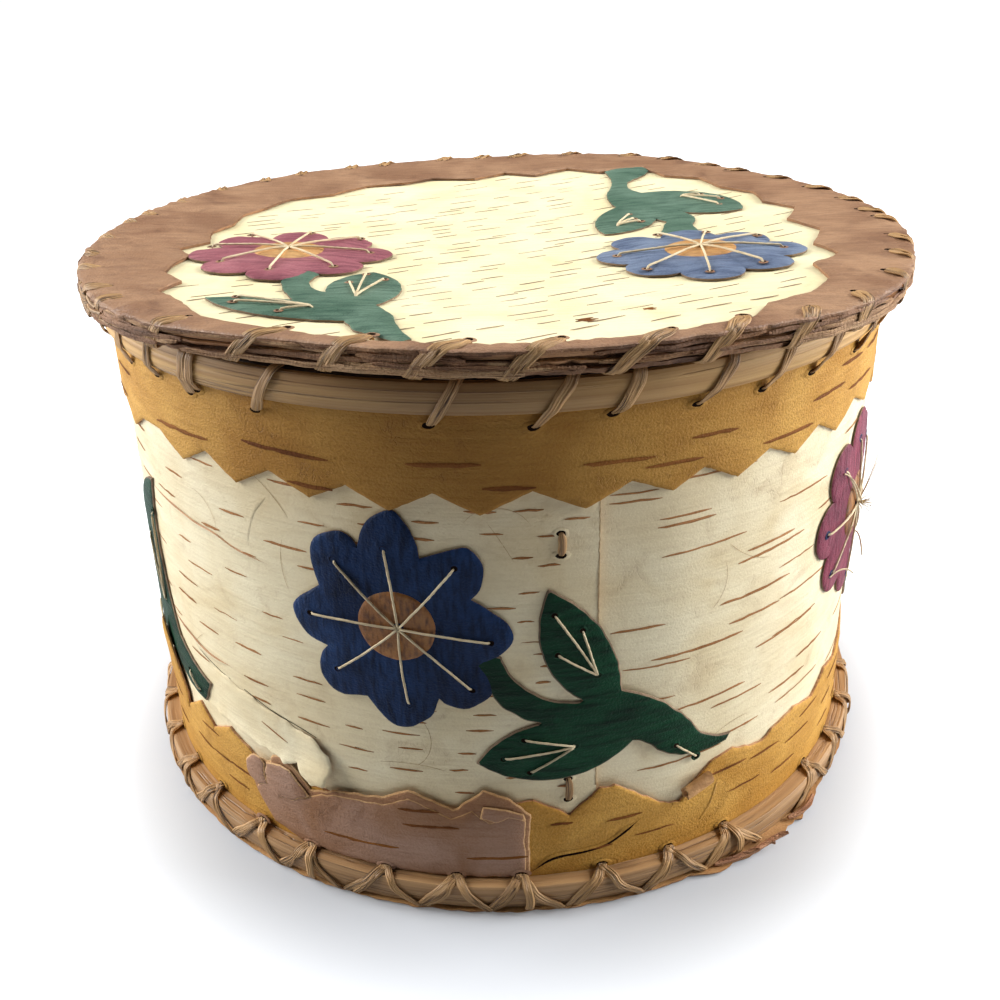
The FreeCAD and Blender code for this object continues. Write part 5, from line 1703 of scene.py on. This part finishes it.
# Name, centre, spray, leaf threads, petal holes, dye, slot of the flower.
LID_MOTIFS = (
    ("lid_red", (-57, -26), RED_LID_SPRAY, RED_VEINS, RED_HOLES, LID_RED, "burgundy_bark"),
    ("lid_blue", (55.5, -36), BLUE_LID_SPRAY, BLUE_VEINS, BLUE_HOLES, LID_BLUE, "blue_bark"),
)
threads, holes = Bundle(), Bundle()
for name, centre, spray, veins, petal_holes, dye, slot in LID_MOTIFS:
    flower, middle, leaves = Bundle(), Bundle(), Bundle()
    outline = flower_outline(28.0, PLAIN_PETALS, centre=centre)
    cut_shape(flower, outline, raised(on_lid, 0.3), 0.9, 1.05, mesh_step=1.7, shake=0.3,
              pins=petal_holes + [centre])
    cut_shape(middle, round_outline(DISC_REACH, centre), raised(on_lid, 2.15), 0.5, 0.3,
              pins=[centre])
    cut_shape(leaves, spray, raised(on_lid, 0.1), 0.85, 0.4, shake=0.3)
    make_piece(name + "_petals", flower, "lid", [dye, DULL_EDGE], slot, [name + "_flower"])
    make_piece(name + "_centre", middle, "lid", [LID_OCHRE, CUT_EDGE], "ochre_bark",
               [name + "_flower_centre"])
    make_piece(name + "_leaves", leaves, "lid", [LID_LEAF, DULL_EDGE], "green_bark",
               [name + "_spray"])
    for index, hole in enumerate(petal_holes):
        awl_hole(holes, raised(on_lid, 1.60), *hole, 0.8, 0.8)
        sew(threads, on_lid, hole, centre, 2.2, 3.1, slack=0.45, seed=index * 1.3 + centre[0])
    for vein in veins:
        for index, hole in enumerate(vein[1:]):
            awl_hole(holes, raised(on_lid, 1.25), *hole, 0.7, 0.7)
            sew(threads, on_lid, hole, vein[0], 1.65, 1.65, slack=0.2, seed=index * 2.1)
make_piece("lid_threads", threads, "lid", [THREAD])

# %% [markdown]
# ### Walking along the lid's edge
#
# The lacing and the torn fibres follow the lid's hand-cut outline, so their places are given as
# a walk along it. The outline is measured once in short steps. From then on a distance gives
# the place and the two directions that a stitch needs: along the edge and out.

# %% Places along the lid's edge
EDGE_STEPS = 720
turns = [tau * step / EDGE_STEPS for step in range(EDGE_STEPS)]
edge = [at_reach(turn, lid_reach(turn), 0)[:2] for turn in turns]
walk = np.concatenate([[0], np.cumsum([dist(a, b) for a, b in zip(edge, edge[1:] + edge[:1])])])


def edge_frame(distance):
    """Point on the lid's outline, and its directions along and out, by distance round it."""
    at = np.interp(distance % walk[-1], walk, np.arange(EDGE_STEPS + 1)) % EDGE_STEPS
    here, there = edge[int(at)], edge[(int(at) + 1) % EDGE_STEPS]
    share = at - int(at)
    x, y = (a + (b - a) * share for a, b in zip(here, there))
    along = np.array([there[0] - here[0], there[1] - here[1]])
    along /= np.linalg.norm(along)
    return x, y, along, np.array([along[1], -along[0]])


def edge_distance(degrees):
    """Distance round the outline at a turn from the front towards the right."""
    return float(np.interp(degrees % 360, np.linspace(0, 360, EDGE_STEPS + 1), walk))


print("the lid's edge is %.0f mm long" % walk[-1])

# %% [markdown]
# ### Lacing of the lid
#
# Each stitch goes through an awl hole a little inside the edge, over the edge and back to a hole
# below. It leans, so its upper end lies further along the edge than its lower end. It is made of
# two or three thin splits of root side by side, which fan out a little on top.

# %% Lace the lid's edge
STITCH_GAP = 19.0
# Turn of each stitch's lower end, and how far its upper end lies to the right, in mm.
FRONT_STITCHES = ((-52.5, 2), (-41, 7), (-30, 12), (-18.6, 9), (-8.6, 11),
                  (1.2, 11.5), (12.1, 14), (22.2, 12), (32.6, 8), (42.1, 6), (54, 4.5))
stitches = [(edge_distance(turn), shift) for turn, shift in FRONT_STITCHES]
chance = random.Random(71)
last = stitches[-1][0]
left = walk[-1] - (last - stitches[0][0]) % walk[-1]
count = round(left / STITCH_GAP)
for step in range(1, count):
    stitches.append((last + left * (step + 0.2 * chance.uniform(-1, 1)) / count,
                     chance.uniform(6, 11)))
lacing = Bundle()
for index, (distance, shift) in enumerate(stitches):
    x0, y0, along, out = edge_frame(distance)
    low, high = LID_UNDER - 0.05, on_lid(x0, y0)[2] + 1.3
    deep = chance.uniform(5.2, 7.0)
    strands = [(-0.9, 2.6), (0.8, 2.2)] + ([(0.1, 1.6)] if index % 3 == 1 else [])
    for strand, wide in strands:
        fan = strand * chance.uniform(0.5, 1.5)
        profile = [(-1.0, -deep, low + 0.2), (-0.8 + 0.4 * strand, -deep + 1.6, low - 0.1),
                   (-0.4 + strand, -1.9, low - 0.15),
                   (0.04 * shift + strand, -0.6, low + 0.4),
                   (0.26 * shift + strand, -0.3, (low + high) / 2),
                   (0.50 * shift + strand, -0.4, high - 0.9),
                   (0.62 * shift + strand + 0.2 * fan, -1.4, high - 0.1),
                   (0.80 * shift + strand + 0.5 * fan, -0.55 * deep, high),
                   (0.96 * shift + 0.6 * strand, -deep + 0.6, high - 0.1),
                   (1.0 * shift + 0.4 * strand, -deep, high - 0.9)]
        line, cores = [], []
        for sideways, outward, level in smooth_line(profile):
            foot = np.array([x0, y0]) + along * sideways
            line.append((*(foot + out * outward), level))
            cores.append((*(foot + out * min(-4.0, outward)), (low + high) / 2))
        strap(lacing, line, cores, wide * chance.uniform(0.85, 1.15), 0.45,
              index * 0.8 + strand)
    x, y = (float(v) for v in np.array([x0, y0]) + along * shift - out * (deep + 0.4))
    awl_hole(holes, raised(on_lid, 1.3), x, y, 1.0, 0.9)

# %% [markdown]
# ### Torn fibres of the edge
#
# All round, and most at the left of the front, thin strips have torn off the plies' edges and
# lie along them. They are straps again, pressed to the edge at chance heights, in three browns,
# so the edge reads as a stack of torn layers.

# %% Torn fibres along the edge
def torn_fibre(name, light, dark, stain):
    return bark(name, light, dark, stain, stained=0.6, streaks=0.8, grain=0.6,
                run=(0.6, 24.0, 14.0), relief=0.6, roughness=0.75)


TORN_BROWN = torn_fibre("torn_brown_fibre", (168, 124, 88), (122, 84, 56), (70, 44, 28))
TORN_TAN = torn_fibre("torn_tan_fibre", (206, 166, 122), (162, 120, 80), (98, 62, 38))
FRAYED_AT = -56  # turn at which the edge has suffered most, in degrees
TORN_AT = (FRAYED_AT, FRAYED_AT, -62, -70, -44, -30, -10, 10, 30, 50, 70, 120, 180, 240)
chance = random.Random(73)
torn = Bundle()
for index in range(84):
    start = edge_distance(chance.choice(TORN_AT) + chance.uniform(-14, 14))
    level, span = chance.uniform(0.1, 0.85), chance.uniform(14, 46)
    furthest = 0.1 if index % 14 < 4 else -0.2
    reach, wide = chance.uniform(-1.0, furthest), chance.uniform(0.8, 1.8)
    line, cores = [], []
    for along_edge in np.arange(-span / 2, span / 2, 2.0):
        x, y, along, out = edge_frame(start + along_edge)
        low, high = LID_UNDER + 0.4, on_lid(x, y)[2] + 0.9
        sway = 0.10 * wander(along_edge / 9, index)
        spot = np.array([x, y]) + out * (reach + 0.7 * wander(along_edge / 7, index, 4))
        line.append((*spot, low + (high - low) * min(max(level + sway, 0.0), 1.0)))
        cores.append((*(spot - out * 5), line[-1][2]))
    strap(torn, line, cores, wide, 0.5, index * 1.3, index % 3)
make_piece("lid_torn_fibres", torn, "lid", [TORN_BROWN, TORN_TAN, ROUGH_PLY])

# %% [markdown]
# ### A frayed bundle
#
# At the left of the front a stitch has broken up into loose hairs of root. They are drawn with
# the thread's tube, because a hair is round, and belong to the lacing, because it is root.

# %% Fray one stitch
chance = random.Random(72)
for index in range(26):
    x, y, along, out = edge_frame(edge_distance(FRAYED_AT + chance.uniform(-5, 5)))
    level, climb = chance.uniform(LID_UNDER + 0.5, LID_UNDER + 4.5), chance.uniform(-1.2, 1.2)
    bend, run = chance.uniform(-1.2, 1.2), chance.uniform(3, 7)
    line = [(*(np.array([x, y]) + along * run * s + out * (0.8 * bend * (1 - s * s) - 0.1)),
             level + climb * s) for s in np.linspace(-1, 1, 9)]
    twine(lacing, line, chance.uniform(0.6, 1.3), index)
make_piece("lid_root_lacing", lacing, "lid", [ROOT], "split_root", ["lid_lacing"])
make_piece("lid_awl_holes", holes, "lid", [HOLE_SHADE, BROWN])

# %% [markdown]
# ## Pieces that stay as the frame has them
#
# The flange under the lid keeps the frame's own shape, because it is a plain bent strip of bark
# that shows only when the lid is lifted. It only gets a finish.

# %% Finish for the flange
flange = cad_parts["lid_flange"]
flange.data.materials.clear()
flange.data.materials.append(INSIDE)

# %% [markdown]
# ## Floor
#
# The box stands on a pale floor that fades into white, as on a sheet of paper that is bent up
# behind it. A plain white floor would throw light up at the box. So this one is light grey, and
# shows the camera its own soft white, which grows with the distance. Near the foot the white
# stays faint, which paints a ring of shade round the box over its real shadow, reaching further
# at the front and back than at the sides.

# %% Floor
JUST_BELOW = -0.0002  # metres, so that the foot doesn't share the floor's plane
SHADED, WHITE_FROM = 12.4, 19.5  # cm from the axis: the shadow's room, and where all is white


def add_floor(size):
    mesh = bpy.data.meshes.new("floor")
    corners = ((-1, -1), (1, -1), (1, 1), (-1, 1))
    mesh.from_pydata([(x * size, y * size, JUST_BELOW) for x, y in corners], [], [(0, 1, 2, 3)])
    floor = add_object("floor", mesh)
    finish = Finish("floor", 0.7)
    fine = finish.cloud(finish.place("flat"), 0.05, 3.0)
    colour = finish.blend(fine, paint(176, 180, 186), paint(186, 190, 196))
    seen = finish.nodes.new("ShaderNodeLightPath").outputs["Is Camera Ray"]
    # Faint glow near the foot paints shade round the box, further out at front and back.
    away = finish.add("VectorMath", {0: finish.stretch(finish.place("flat"), (1.2, 1, 1))},
                      operation="LENGTH")
    glow = finish.add("MapRange", {"Value": away.outputs["Value"], "From Min": SHADED,
                                   "From Max": WHITE_FROM, "To Min": 0.14, "To Max": 1.0},
                      interpolation_type="SMOOTHSTEP")
    finish.put(finish.shader.inputs["Emission Color"], paint(255, 255, 255))
    finish.put(finish.shader.inputs["Emission Strength"],
               finish.times(seen, glow.outputs[0]))
    mesh.materials.append(finish.done(colour))


add_floor(size=6.0)

# %% [markdown]
# ## Lamps and world
#
# Two large lamps stand at the sides and one above, so the sides and the top are brighter than
# the front. Large lamps give soft shadows. The world fills the rest with faint even light, but
# shows white to the camera: two backgrounds are mixed by the kind of ray that asks.

# %% Lamps and world
def add_lamp(name, place, target, size, power):
    lamp = add_object(name, bpy.data.lights.new(name, "AREA"))
    lamp.data.shape, lamp.data.size, lamp.data.size_y = "RECTANGLE", size[0], size[1]
    lamp.data.energy = power
    lamp.location = place
    lamp.rotation_euler = (Vector(target) - Vector(place)).to_track_quat("-Z", "Y").to_euler()


add_lamp("left_lamp", (-1.0, 0.15, 0.55), (0, 0, 0.07), (0.7, 0.8), 21.0)
add_lamp("right_lamp", (1.0, 0.05, 0.50), (0, 0, 0.07), (0.7, 0.8), 21.5)
add_lamp("top_lamp", (0.0, 0.35, 1.1), (0, 0, 0.1), (0.8, 0.8), 4.6)

FILL = 0.062  # strength of the world's own light
world = bpy.data.worlds.new("studio")
bpy.context.scene.world = world
world.use_nodes = True
nodes, links = world.node_tree.nodes, world.node_tree.links
soft, shown = nodes["Background"], nodes.new("ShaderNodeBackground")
soft.inputs[0].default_value, soft.inputs[1].default_value = (0.98, 0.99, 1.0, 1), FILL
shown.inputs[0].default_value, shown.inputs[1].default_value = (1.0, 1.0, 1.0, 1), 1.0
rays, mix = nodes.new("ShaderNodeLightPath"), nodes.new("ShaderNodeMixShader")
white_for = nodes.new("ShaderNodeMath")
white_for.operation, white_for.use_clamp = "ADD", True
links.new(rays.outputs["Is Camera Ray"], white_for.inputs[0])
links.new(rays.outputs["Is Transmission Ray"], white_for.inputs[1])
links.new(white_for.outputs[0], mix.inputs[0])
links.new(soft.outputs[0], mix.inputs[1])
links.new(shown.outputs[0], mix.inputs[2])
links.new(mix.outputs[0], nodes["World Output"].inputs[0])
